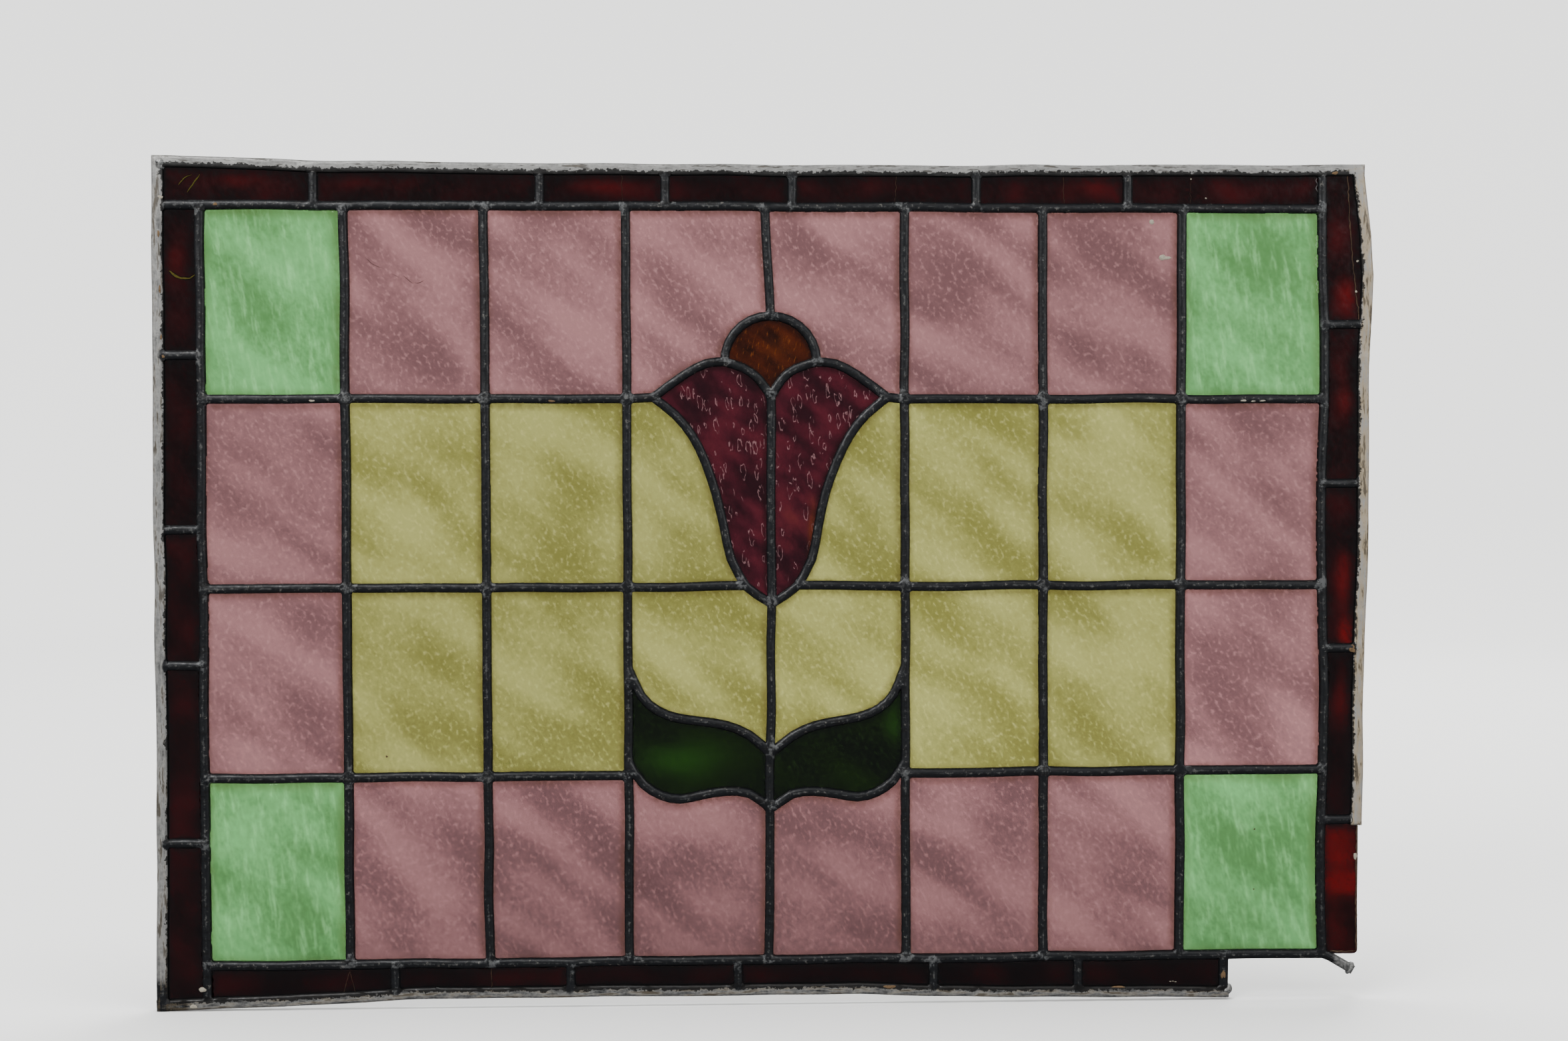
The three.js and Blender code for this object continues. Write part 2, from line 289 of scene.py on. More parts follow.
def section(mesh: bpy.types.Mesh, depth: float) -> list[Outline]:
    """Cuts a closed mesh with a plane that lies parallel to the panel.

    Args:
        mesh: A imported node's mesh.
        depth: The plane's distance behind the panel's middle, in millimetres.

    Returns:
        Every closed line that the cut makes.
    """
    corners, triangles = welded(mesh)
    behind = corners[:, 1] > depth
    following: dict[tuple[int, int], tuple[int, int]] = {}
    for triangle in triangles:
        edges = list(zip(triangle, np.roll(triangle, -1)))
        crossed = [(a, b) for a, b in edges if behind[a] != behind[b]]
        if crossed:
            leaving, entering = sorted(crossed, key=lambda edge: behind[edge[1]])
            following[tuple(sorted(leaving))] = tuple(sorted(entering))
    lines = []
    while following:
        at, after = following.popitem()
        run = [at]
        while after != run[0]:
            run.append(after)
            after = following.pop(after)
        pair = np.array(run)
        a, b = corners[pair[:, 0]], corners[pair[:, 1]]
        share = (depth - a[:, 1]) / (b[:, 1] - a[:, 1])
        cut = a + share[:, None] * (b - a)
        lines.append(Outline(cut[:, [0, 2]]).thinned())
    return lines


# ---------------------------------------------------------------- surfaces


@dataclass(frozen=True)
class Undulation:
    """A smooth random surface, made of many small waves that run in every direction.

    Attributes:
        height: Its typical height, in millimetres.
        shortest: The shortest wave, in millimetres.
        longest: The longest wave, in millimetres.
        seed: Sets the random draws.
        upright: How many times longer the waves are upwards than across.
        waves: How many waves are added up.
    """

    height: float
    shortest: float
    longest: float
    seed: int
    upright: float = 1.0
    waves: int = 36

    def at(self, points: Points) -> np.ndarray:
        """The surface's height at each point.

        Args:
            points: The places, in millimetres.

        Returns:
            The height at each place.
        """
        draw = np.random.default_rng(self.seed)
        length = draw.uniform(self.shortest, self.longest, self.waves)
        heading = draw.uniform(0, math.tau, self.waves)
        phase = draw.uniform(0, math.tau, self.waves)
        pull = np.stack([np.cos(heading), np.sin(heading) / self.upright]) * math.tau / length
        return self.height * math.sqrt(2 / self.waves) * np.sin(points @ pull + phase).sum(1)


@dataclass(frozen=True)
class Dimples:
    """The shallow pits that a roller hammers into hot glass.

    Attributes:
        pitch: From one pit to the next, in millimetres.
        depth: The depth of a pit, in millimetres.
        upright: How many times taller than wide a pit is.
        seed: Sets the random draws.
    """

    pitch: float
    depth: float
    upright: float
    seed: int

    def at(self, points: Points) -> np.ndarray:
        """The surface's height at each point, below zero in the pits.

        Args:
            points: The places, in millimetres.

        Returns:
            The height at each place.
        """
        draw = np.random.default_rng(self.seed)
        squeeze = np.array([1.0, 1 / self.upright])
        low = (points * squeeze).min(0) - self.pitch
        high = (points * squeeze).max(0) + self.pitch
        pits = hexagonal(low, high, self.pitch)
        pits = pits + draw.normal(0, self.pitch * 0.17, pits.shape)
        size = draw.uniform(0.75, 1.25, len(pits))
        height = np.zeros(len(points))
        for pit, scale in zip(pits, size):
            radius = self.pitch * 0.5 * scale
            r2 = (((points * squeeze - pit) / radius) ** 2).sum(1)
            height -= self.depth * scale * np.clip(1 - r2, 0, 1) ** 2
        return height


def hexagonal(low: Points, high: Points, pitch: float) -> Points:
    """Points in staggered rows that fill a box.

    Args:
        low: The box's lowest corner.
        high: The box's highest corner.
        pitch: From one point to its neighbours.

    Returns:
        The points, one row each.
    """
    rise = pitch * math.sqrt(3) / 2
    rows = []
    for i, v in enumerate(np.arange(low[1], high[1] + rise, rise)):
        us = np.arange(low[0] + (i % 2) * pitch / 2, high[0] + pitch, pitch)
        rows.append(np.stack([us, np.full(len(us), v)], axis=1))
    return np.concatenate(rows)


def smoothstep(values: np.ndarray, low: float, high: float) -> np.ndarray:
    """Rises smoothly from 0 at low to 1 at high, or falls if low is the larger."""
    share = np.clip((values - low) / (high - low), 0, 1)
    return share * share * (3 - 2 * share)


@dataclass(frozen=True)
class HandSetting:
    """How far hand-set lead strays from the ruler, for lead and glass alike.

    Attributes:
        wander: The slow drift of every line.
        bow_at: Where the last upright lead line stands, which has bowed in and out.
        bow_width: How far to each side of that line the bow reaches.
        bow: The size of the bow.
        bow_length: One bow in and out again.
        bow_start: Where along that wave the panel's foot is, as an angle.
    """

    wander: Undulation = Undulation(height=0.22, shortest=55, longest=130, seed=3)
    bow_at: float = 387.5
    bow_width: float = 24.0
    bow: float = 1.1
    bow_length: float = 232.0
    bow_start: float = 2.3

    def moved(self, points: Points) -> Points:
        """Where each drawn point really is.

        Args:
            points: The places as drawn.

        Returns:
            The places as set by hand.
        """
        elsewhere, full_bow_within = 400.0, 4.0
        upward = self.wander.at(points[:, ::-1] + elsewhere)
        nearness = smoothstep(np.abs(points[:, 0] - self.bow_at), self.bow_width, full_bow_within)
        wave = np.sin(points[:, 1] * math.tau / self.bow_length + self.bow_start)
        across = self.wander.at(points) + nearness * self.bow * wave
        return points + np.stack([across, upward], axis=1)


def new_piece(
    name: str, corners: Points, faces: list[tuple[int, ...]], sharp: float = 50.0
) -> bpy.types.Object:
    """Makes a piece of the object, which rides on the panel.

    Args:
        name: The piece's name.
        corners: Its corners in millimetres, one row each.
        faces: Its faces, as corner numbers.
        sharp: Edges that turn by more than this many degrees stay crisp.

    Returns:
        The new piece.
    """
    mesh = bpy.data.meshes.new(name)
    mesh.from_pydata((corners * MM).tolist(), [], faces)
    mesh.shade_smooth()
    mesh.set_sharp_from_angle(angle=math.radians(sharp))
    made = bpy.data.objects.new(name, mesh)
    bpy.context.scene.collection.objects.link(made)
    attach(made, "root")
    return made


@dataclass
class Surface:
    """A closed mesh in the making: two faces over one flat triangulation, and the walls between.

    Attributes:
        flat: Every corner of the triangulation, in drawing coordinates.
        triangles: Its triangles, counter-clockwise from the front.
        borders: Each border as corner numbers, with the solid on the right of its run.
        corners: The finished corners in millimetres, in blocks.
        faces: The finished faces.
    """

    flat: Points
    triangles: np.ndarray
    borders: list[np.ndarray]
    corners: list[Points] = field(default_factory=list)
    faces: list[tuple[int, ...]] = field(default_factory=list)

    @classmethod
    def triangulated(cls, borders: list[Outline], inner: Points) -> Surface:
        """Triangulates the region that the borders bound.

        Args:
            borders: The closed lines, each with the solid on its right.
            inner: Further corners inside the region.

        Returns:
            A surface with no heights yet.
        """
        points: list[Points] = []
        edges: list[tuple[int, int]] = []
        rings: list[np.ndarray] = []
        count = 0
        for border in borders:
            size = len(border.points)
            ring = count + np.arange(size)
            rings.append(ring)
            edges.extend(zip(ring.tolist(), np.roll(ring, -1).tolist()))
            points.append(border.points)
            count += size
        given = np.concatenate([*points, inner])
        coords = [Vector(p) for p in given]
        everything, apart = 0, 1e-4
        corners, _, faces, sources, _, _ = geometry.delaunay_2d_cdt(
            coords, edges, [], everything, apart, True
        )
        place = np.full(len(given), -1)
        for new, old in enumerate(sources):
            place[list(old)] = new
        flat = np.array([tuple(p) for p in corners])
        triangles = np.array([tuple(face) for face in faces])
        middles = flat[triangles].mean(1)
        solid = np.zeros(len(triangles), bool)
        for border in borders:
            solid ^= border.holds(middles)
        return cls(flat, triangles[solid], [place[ring] for ring in rings])

    def layer(self, flat: Points, depth: np.ndarray | float) -> np.ndarray:
        """Adds a block of corners at the given depths, and returns their numbers.

        Args:
            flat: The corners' places in drawing coordinates.
            depth: How far behind the panel's middle they lie.

        Returns:
            The corners' numbers.
        """
        start = sum(len(block) for block in self.corners)
        depths = np.broadcast_to(depth, (len(flat),))
        self.corners.append(np.stack([flat[:, 0], depths, flat[:, 1]], axis=1))
        return start + np.arange(len(flat))

    def close(self, front: np.ndarray, back: np.ndarray, rings: list[list[np.ndarray]]) -> None:
        """Makes both faces, and the walls that join them.

        Args:
            front: Corner numbers of the front face.
            back: Corner numbers of the back face.
            rings: For each border, the rows of corners between its front and its back.
        """
        self.faces.extend(map(tuple, front[self.triangles].tolist()))
        self.faces.extend(map(tuple, back[self.triangles[:, ::-1]].tolist()))
        for border, between in zip(self.borders, rings):
            rows = [front[border], *between, back[border]]
            for near, far in zip(rows, rows[1:]):
                walls = np.stack([near, np.roll(near, -1), np.roll(far, -1), far], axis=1)
                self.faces.extend(map(tuple, walls.tolist()))


def paint(piece: bpy.types.Object, **layers: np.ndarray) -> None:
    """Stores numbers on a piece's corners for its material to read.

    Args:
        piece: The piece.
        **layers: One number for each corner, by the layer's name.
    """
    for name, values in layers.items():
        layer = piece.data.attributes.new(name, "FLOAT", "POINT")
        layer.data.foreach_set("value", np.asarray(values, np.float32))


# ---------------------------------------------------------------- finishes


def linear(code: str) -> Colour:
    """Turns an sRGB hex colour into a linear one.

    Args:
        code: The colour as #rrggbb.

    Returns:
        The same colour in linear light, opaque.
    """
    parts = [int(code[i : i + 2], 16) / 255 for i in (1, 3, 5)]
    red, green, blue = [p / 12.92 if p <= 0.04045 else ((p + 0.055) / 1.055) ** 2.4 for p in parts]
    return (red, green, blue, 1.0)


def add_node(
    tree: bpy.types.NodeTree,
    kind: str,
    settings: dict[str, Any] | None = None,
    inputs: dict[str | int, Any] | None = None,
) -> bpy.types.Node:
    """Adds a node with its settings and links.

    Args:
        tree: The material's or world's node tree.
        kind: The node's type.
        settings: Values of the node's own properties.
        inputs: What goes into its sockets, by name or number: a value, or a socket to link.

    Returns:
        The new node.
    """
    made = tree.nodes.new(kind)
    for name, value in (settings or {}).items():
        setattr(made, name, value)
    for key, value in (inputs or {}).items():
        if isinstance(value, bpy.types.NodeSocket):
            tree.links.new(value, made.inputs[key])
        else:
            made.inputs[key].default_value = value
    return made


def new_material(name: str, shader: dict[str, Any]) -> tuple[bpy.types.Material, bpy.types.Node]:
    """Makes a material with one Principled shader.

    Args:
        name: The material's name.
        shader: Plain values for the shader's sockets.

    Returns:
        The material and its shader.
    """
    material = bpy.data.materials.new(name)
    material.use_nodes = True
    tree = material.node_tree
    tree.nodes.clear()
    principled = add_node(tree, "ShaderNodeBsdfPrincipled", inputs=shader)
    add_node(tree, "ShaderNodeOutputMaterial", inputs={"Surface": principled.outputs["BSDF"]})
    return material, principled


MIX_FACTOR, MIX_A, MIX_B, MIX_RESULT = 0, 6, 7, 2  # sockets of a colour Mix node


class Slot(Enum):
    """The record's material slots."""

    LEAD = "lead"
    GREEN = "green_glass"
    MAUVE = "mauve_glass"
    YELLOW = "yellow_glass"
    RUBY = "ruby_glass"
    WINE = "wine_glass"
    AMBER = "amber_glass"
    LEAF = "bottle_green_glass"


@dataclass(frozen=True)
class Figure:
    """A random figure with a real size, from 0 to 1 and mostly near the middle.

    Attributes:
        size: The size of its patches across, in millimetres.
        detail: How many finer sizes are added to it.
        roughness: How strongly the finer sizes show.
        upright: How many times taller than wide its patches are.
        lean: How far they lean to the right of upright, in degrees.
        through: Whether it goes straight through the panel, the same from front to back.
    """

    size: float
    detail: float = 2.0
    roughness: float = 0.5
    upright: float = 1.0
    lean: float = 0.0
    through: bool = True

    def placed(self, tree: bpy.types.NodeTree) -> bpy.types.NodeSocket:
        """Where each place falls on the figure, in patches.

        Args:
            tree: The material's node tree.

        Returns:
            The socket with the places.
        """
        place = add_node(tree, "ShaderNodeTexCoord").outputs["Object"]
        across, upwards = self.size * MM, self.size * self.upright * MM
        # The quarter turn lays the panel's own plane over the first two axes of a flat texture.
        turn = (math.radians(90), math.radians(self.lean), 0.0) if self.through else (0.0, 0.0, 0.0)
        size = (across, upwards, 1.0) if self.through else (across, across, upwards)
        inputs = {"Vector": place, "Rotation": turn, "Scale": size}
        return add_node(tree, "ShaderNodeMapping", {"vector_type": "TEXTURE"}, inputs).outputs["Vector"]

    def drawn(self, tree: bpy.types.NodeTree) -> bpy.types.NodeSocket:
        """Adds the figure to a material.

        Args:
            tree: The material's node tree.

        Returns:
            The figure, from 0 to 1.
        """
        dimensions = "2D" if self.through else "3D"
        inputs = {
            "Vector": self.placed(tree),
            "Scale": 1.0,
            "Detail": self.detail,
            "Roughness": self.roughness,
        }
        made = add_node(tree, "ShaderNodeTexNoise", {"noise_dimensions": dimensions}, inputs)
        return made.outputs["Fac"]


@dataclass(frozen=True)
class HighlightLoops(Figure):
    """Painted highlights: the bright loops and hooks where the hammer's marks catch the light, drawn into
    the colour.

    Attributes:
        line: The width of a loop's line, in pitches.
        left_out: The share of the marks that don't show.
        radius: The least and most radius of a loop, in pitches.
        bend: How far a loop is bent out of round, in pitches.
        opening: The wobble below which a loop is open, and that above which it is whole.
    """

    line: float = 0.1
    left_out: float = 0.4
    radius: tuple[float, float] = (0.06, 0.38)
    bend: float = 0.5
    opening: tuple[float, float] = (0.34, 0.52)

    def drawn(self, tree: bpy.types.NodeTree) -> bpy.types.NodeSocket:
        """Adds the loops to a material.

        Args:
            tree: The material's node tree.

        Returns:
            1 on a loop's line and 0 off it.
        """
        wobble = add_node(
            tree,
            "ShaderNodeTexNoise",
            {"noise_dimensions": "2D"},
            {"Vector": self.placed(tree), "Scale": 2.3, "Detail": 1.0},
        )
        bent = add_node(
            tree,
            "ShaderNodeVectorMath",
            {"operation": "MULTIPLY_ADD"},
            {0: wobble.outputs["Color"], 1: (self.bend, self.bend, 0.0), 2: self.placed(tree)},
        )
        cells = add_node(
            tree,
            "ShaderNodeTexVoronoi",
            {"voronoi_dimensions": "2D"},
            {"Vector": bent.outputs["Vector"], "Scale": 1.0, "Randomness": 0.9},
        )
        draw = add_node(tree, "ShaderNodeSeparateColor", inputs={"Color": cells.outputs["Color"]})
        least, most = self.radius
        radius = add_node(
            tree,
            "ShaderNodeMath",
            {"operation": "MULTIPLY_ADD"},
            {0: draw.outputs["Red"], 1: most - least, 2: least},
        )
        off_line = add_node(
            tree,
            "ShaderNodeMath",
            {"operation": "SUBTRACT"},
            {0: cells.outputs["Distance"], 1: radius.outputs["Value"]},
        )
        gap = add_node(tree, "ShaderNodeMath", {"operation": "ABSOLUTE"}, {0: off_line.outputs["Value"]})
        line = add_node(
            tree,
            "ShaderNodeMapRange",
            {"interpolation_type": "SMOOTHSTEP"},
            {"Value": gap.outputs["Value"], "From Max": self.line, "To Min": 1.0, "To Max": 0.0},
        )
        shown = add_node(
            tree,
            "ShaderNodeMath",
            {"operation": "GREATER_THAN"},
            {0: draw.outputs["Green"], 1: self.left_out},
        )
        open_side = add_node(
            tree,
            "ShaderNodeMapRange",
            {"interpolation_type": "SMOOTHSTEP"},
            {"Value": wobble.outputs["Fac"], "From Min": self.opening[0], "From Max": self.opening[1]},
        )
        mask = line.outputs["Result"]
        for factor in (shown.outputs["Value"], open_side.outputs["Result"]):
            both = add_node(tree, "ShaderNodeMath", {"operation": "MULTIPLY"}, {0: mask, 1: factor})
            mask = both.outputs["Value"]
        return mask


@dataclass(frozen=True)
class Wash:
    """A colour that lies over another wherever a figure is high.

    Attributes:
        shade: The colour.
        low: Where it starts to show.
        high: Where it is at its strongest.
        most: How much it covers there.
    """

    shade: str
    low: float
    high: float
    most: float = 1.0

    def over(
        self, tree: bpy.types.NodeTree, under: bpy.types.NodeSocket | Colour, figure: bpy.types.NodeSocket
    ) -> bpy.types.NodeSocket:
        """Lays the wash over a colour.

        Args:
            tree: The material's node tree.
            under: The colour below.
            figure: Where the wash goes.

        Returns:
            The colour with the wash on it.
        """
        cover = add_node(
            tree,
            "ShaderNodeMapRange",
            {"interpolation_type": "SMOOTHSTEP"},
            {"Value": figure, "From Min": self.low, "From Max": self.high, "To Max": self.most},
        )
        mixed = add_node(
            tree,
            "ShaderNodeMix",
            {"data_type": "RGBA"},
            {MIX_FACTOR: cover.outputs["Result"], MIX_A: under, MIX_B: linear(self.shade)},
        )
        return mixed.outputs[MIX_RESULT]


def painted(tree: bpy.types.NodeTree, layer: str) -> bpy.types.NodeSocket:
    """Reads a layer that paint() stored on the mesh."""
    return add_node(tree, "ShaderNodeAttribute", {"attribute_name": layer}).outputs["Fac"]


def weighed(
    tree: bpy.types.NodeTree, parts: Iterable[tuple[bpy.types.NodeSocket, float]], start: float = 0.0
) -> bpy.types.NodeSocket:
    """Adds up numbers, each times its own weight.

    Args:
        tree: The material's node tree.
        parts: The sockets and their weights.
        start: What the sum starts from.

    Returns:
        The sum.
    """
    total: bpy.types.NodeSocket | float = start
    for socket, weight in parts:
        inputs = {0: socket, 1: weight, 2: total}
        added = add_node(tree, "ShaderNodeMath", {"operation": "MULTIPLY_ADD"}, inputs)
        total = added.outputs["Value"]
    return total


@dataclass(frozen=True)
class StainedGlass:
    """Pot-coloured sheet glass: clear to the light, and tinted right through.

    Rolled or hammered hot, so its tint and its skin vary over the sheet, and dust and old cement
    have gathered along the leads, with the leads' shadow painted over them.

    Attributes:
        name: The glass's common name.
        deep: Its tint where the sheet is dense, and in the bands of painted shade.
        light: Its tint where the sheet is thin, and between the bands of painted shade.
        grime_and_shadow: The dust and old cement along its edges, darkened further by the leads' painted
            shadow.
        glow: The purer, brighter tint laid on where a patch of light is painted.
        bright: The tint of the drawn figure.
        figure: The figure that was drawn or hammered into the hot sheet; on the wine glass, loops of painted
            highlight.
        clouds_and_shade: The broad changes of tint, with painted shade in broad bands.
        mottle: The fine changes of tint.
        mottle_share: How much of the change is fine.
        bright_from: How high the drawn figure must be to show, and to show fully.
        brightest: How much the drawn figure covers.
        skin: The fine relief of the skin.
        skin_height: Height of that relief, in millimetres.
        roughness: The least and most roughness of the skin.
        specular: Strength of the skin's reflection, 0.5 for clean glass.
        grime_and_shadow_reach: How far from the lead the dust and painted shadow go, in millimetres.
        most_grime_and_shadow: How much the dust and painted shadow cover at the lead.
    """

    name: str
    deep: str
    light: str
    grime_and_shadow: str
    glow: str
    bright: str
    figure: Figure = Figure(2.6, detail=2.0, upright=1.5, lean=-30.0)
    clouds_and_shade: Figure = Figure(30.0, detail=1.0, roughness=0.4, upright=2.8, lean=-52.0)
    mottle: Figure = Figure(4.0, detail=3.0, roughness=0.6, upright=1.5, lean=-30.0)
    mottle_share: float = 0.25
    bright_from: tuple[float, float] = (0.5, 0.8)
    brightest: float = 0.45
    skin: Figure = Figure(2.6, detail=2.0, through=False)
    skin_height: float = 0.05
    roughness: tuple[float, float] = (0.08, 0.18)
    specular: float = 0.25
    grime_and_shadow_reach: float = 7.0
    most_grime_and_shadow: float = 0.8

    def material(self) -> bpy.types.Material:
        """Builds the material.

        Returns:
            The glass, for every pane of its kind.
        """
        plain = {"Transmission Weight": 1.0, "IOR": 1.52, "Specular IOR Level": self.specular}
        material, shader = new_material(self.name, plain)
        tree = material.node_tree
        mottle = self.mottle.drawn(tree)
        # Painted shade: the broad figure lays long darker bands across the glass; the fine mottle is the
        # glass's own.
        tint = weighed(tree, [(self.clouds_and_shade.drawn(tree), 1 - self.mottle_share), (mottle, self.mottle_share)])
        colour = Wash(self.light, 0.26, 0.74).over(tree, linear(self.deep), tint)
        # Painted light: brighter patches laid into the glass where the glow layer is high.
        glowing = weighed(tree, [(painted(tree, "glow"), 1.0), (tint, 0.6)])
        colour = Wash(self.glow, 0.3, 1.3).over(tree, colour, glowing)
        drawn = Wash(self.bright, *self.bright_from, self.brightest)
        colour = drawn.over(tree, colour, self.figure.drawn(tree))
        # Scaled by the painted tone layer, which holds each pane's own tone and the painted shade towards
        # the foot.
        toned = add_node(
            tree,
            "ShaderNodeVectorMath",
            {"operation": "SCALE"},
            {0: colour, "Scale": painted(tree, "tone")},
        )
        # Dust and painted shadow of the lead: highest at the lead, and falling to nothing at the end of its
        # reach, with a ragged edge.
        grime_and_shadow_amount = weighed(tree, [(painted(tree, "rim"), -1.0), (mottle, self.grime_and_shadow_reach)])
        grime_and_shadow = Wash(self.grime_and_shadow, -0.5 * self.grime_and_shadow_reach, 0.75 * self.grime_and_shadow_reach, self.most_grime_and_shadow)
        grimed_and_shaded = grime_and_shadow.over(tree, toned.outputs["Vector"], grime_and_shadow_amount)
        rough = add_node(
            tree,
            "ShaderNodeMapRange",
            inputs={
                "Value": mottle,
                "From Min": 0.3,
                "From Max": 0.7,
                "To Min": self.roughness[0],
                "To Max": self.roughness[1],
            },
        )
        relief = add_node(
            tree,
            "ShaderNodeBump",
            inputs={"Strength": 1.0, "Distance": self.skin_height * MM, "Height": self.skin.drawn(tree)},
        )
        tree.links.new(grimed_and_shaded, shader.inputs["Base Color"])
        tree.links.new(rough.outputs["Result"], shader.inputs["Roughness"])
        tree.links.new(relief.outputs["Normal"], shader.inputs["Normal"])
        return material


@dataclass(frozen=True)
class WeatheredLead:
    """Milled lead with a slate patina: a dull soft sheen, with paler tin-grey where it is soldered.

    The patina is an oxide and not bare metal, so it is mostly non-metallic to the eye. The flat
    outer came has lost it, and shows chalky oxide, old putty and the black of the cement.

    Attributes:
        name: The metal's common name.
        slate: The patina of the cames.
        scuffed_and_highlight: The patina where it is rubbed, laid on more along the crown as a painted
            highlight.
        speck_and_glint: Grit and splashes of old paint, and small painted glints.
        solder: The tin and lead of the joints.
        oxide: The pale bloom of the outer came, also painted on the bent stub as sheen.
        tan: Old putty and rust-brown dirt on the outer came.
        cement: The black cement that squeezed out of the channels.
        pitting: The fine grain.
        blotch: The patches of weathering.
        level_drag: The long streaks that rubbing left on the level sides of the outer came.
        upright_drag: The same on its upright sides.
        ragged: How far the edge of the cement wanders, in millimetres.
    """

    name: str = "patinated lead"
    slate: str = "#191b1e"
    scuffed_and_highlight: str = "#70716f"
    speck_and_glint: str = "#8f8b82"
    solder: str = "#7c7e7e"
    oxide: str = "#cccbc6"
    tan: str = "#dac39b"
    cement: str = "#110f0d"
    pitting: Figure = Figure(2.4, detail=3.0, roughness=0.65, through=False)
    blotch: Figure = Figure(7.0, detail=4.0, roughness=0.62, through=False)
    level_drag: Figure = Figure(15.0, detail=3.0, roughness=0.62, upright=0.14, through=False)
    upright_drag: Figure = Figure(2.2, detail=3.0, roughness=0.62, upright=7.0, through=False)
    ragged: float = 13.0

    def material(self) -> bpy.types.Material:
        """Builds the material.

        Returns:
            The lead, which reads the layers that weather() paints.
        """
        material, shader = new_material(self.name, {"Specular IOR Level": 0.7})
        tree = material.node_tree
        fine, broad = self.pitting.drawn(tree), self.blotch.drawn(tree)
        ways = {2: self.level_drag.drawn(tree), 3: self.upright_drag.drawn(tree)}
        inputs = {0: painted(tree, "upright"), **ways}
        drag = add_node(tree, "ShaderNodeMix", {"data_type": "FLOAT"}, inputs).outputs[0]
        mixed = weighed(tree, [(fine, 0.5), (broad, 0.5)])
        colour: bpy.types.NodeSocket | Colour = linear(self.slate)
        # Wear and painted highlight: the paler patina comes more often along the crown of each came.
        ridge = weighed(tree, [(painted(tree, "ridge"), 0.16), (mixed, 1.0)])
        colour = Wash(self.scuffed_and_highlight, 0.6, 0.78, 0.75).over(tree, colour, ridge)
        bloom = weighed(tree, [(painted(tree, "bloom"), 1.0), (mixed, 0.45), (drag, 0.55)])
        colour = Wash(self.oxide, 0.95, 1.35, 0.97).over(tree, colour, bloom)
        tan = weighed(tree, [(painted(tree, "tan"), 1.0), (drag, 1.0)])
        colour = Wash(self.tan, 1.0, 1.35, 0.85).over(tree, colour, tan)
        solder = weighed(tree, [(painted(tree, "solder"), 0.2), (mixed, 1.0)])
        colour = Wash(self.solder, 0.65, 0.79, 0.85).over(tree, colour, solder)
        colour = Wash(self.cement, 0.54, 0.63, 0.72).over(tree, colour, drag)
        # Grit, paint splashes and small painted glints along the lead.
        colour = Wash(self.speck_and_glint, 0.62, 0.72, 0.6).over(tree, colour, fine)
        # The painted layer counts down in millimetres from the lip, so that this edge can be ragged.
        cement = weighed(tree, [(painted(tree, "cement"), 1.0), (mixed, self.ragged)], -0.5 * self.ragged)
        colour = Wash(self.cement, -0.35, 0.35, 0.95).over(tree, colour, cement)
        rough = add_node(
            tree,
            "ShaderNodeMapRange",
            inputs={"Value": mixed, "From Min": 0.35, "From Max": 0.65, "To Min": 0.34, "To Max": 0.58},
        )
        metallic = add_node(
            tree,
            "ShaderNodeMapRange",
            inputs={"Value": broad, "From Min": 0.35, "From Max": 0.65, "To Min": 0.05, "To Max": 0.3},
        )
        relief = add_node(
            tree,
            "ShaderNodeBump",
            inputs={"Strength": 1.0, "Distance": 0.2 * MM, "Height": fine},
        )
        tree.links.new(colour, shader.inputs["Base Color"])
        tree.links.new(rough.outputs["Result"], shader.inputs["Roughness"])
        tree.links.new(metallic.outputs["Result"], shader.inputs["Metallic"])
        tree.links.new(relief.outputs["Normal"], shader.inputs["Normal"])
        return material


@dataclass(frozen=True)
class DryCoat:
    """Old household paint, putty or settled dirt: matt, chalky and a little uneven.

    Attributes:
        name: What it is.
        pale: Its colour where it is clean.
        dark: Its colour where dirt has got in.
        grain: Its fine unevenness.
    """

    name: str
    pale: str
    dark: str
    grain: Figure = Figure(1.4, detail=3.0, roughness=0.65, through=False)

    def material(self) -> bpy.types.Material:
        """Builds the material.

        Returns:
            The coat.
        """
        material, shader = new_material(self.name, {"Roughness": 0.8, "Specular IOR Level": 0.3})
        tree = material.node_tree
        grain = self.grain.drawn(tree)
        colour = Wash(self.dark, 0.5, 0.72, 0.8).over(tree, linear(self.pale), grain)
        relief = add_node(
            tree,
            "ShaderNodeBump",
            inputs={"Strength": 1.0, "Distance": 0.12 * MM, "Height": grain},
        )
        tree.links.new(colour, shader.inputs["Base Color"])
        tree.links.new(relief.outputs["Normal"], shader.inputs["Normal"])
        return material


# ---------------------------------------------------------------- the leads

NO_CEMENT = -20.0  # the painted layer of cement where there is none, in millimetres


@dataclass(frozen=True)
class SideWeather:
    """How one side of the outer came has weathered.

    Attributes:
        bloom: How much of it is chalky oxide, from 0 to 1.
        tan: How much of it is old putty and rust-brown dirt.
        cement: The width of the black cement along its inner lip, in millimetres.
        reach: How far from the panel's box it ends, and within what distance it is at its fullest.
    """

    bloom: float
    tan: float
    cement: float
    reach: tuple[float, float] = (17.0, 9.0)


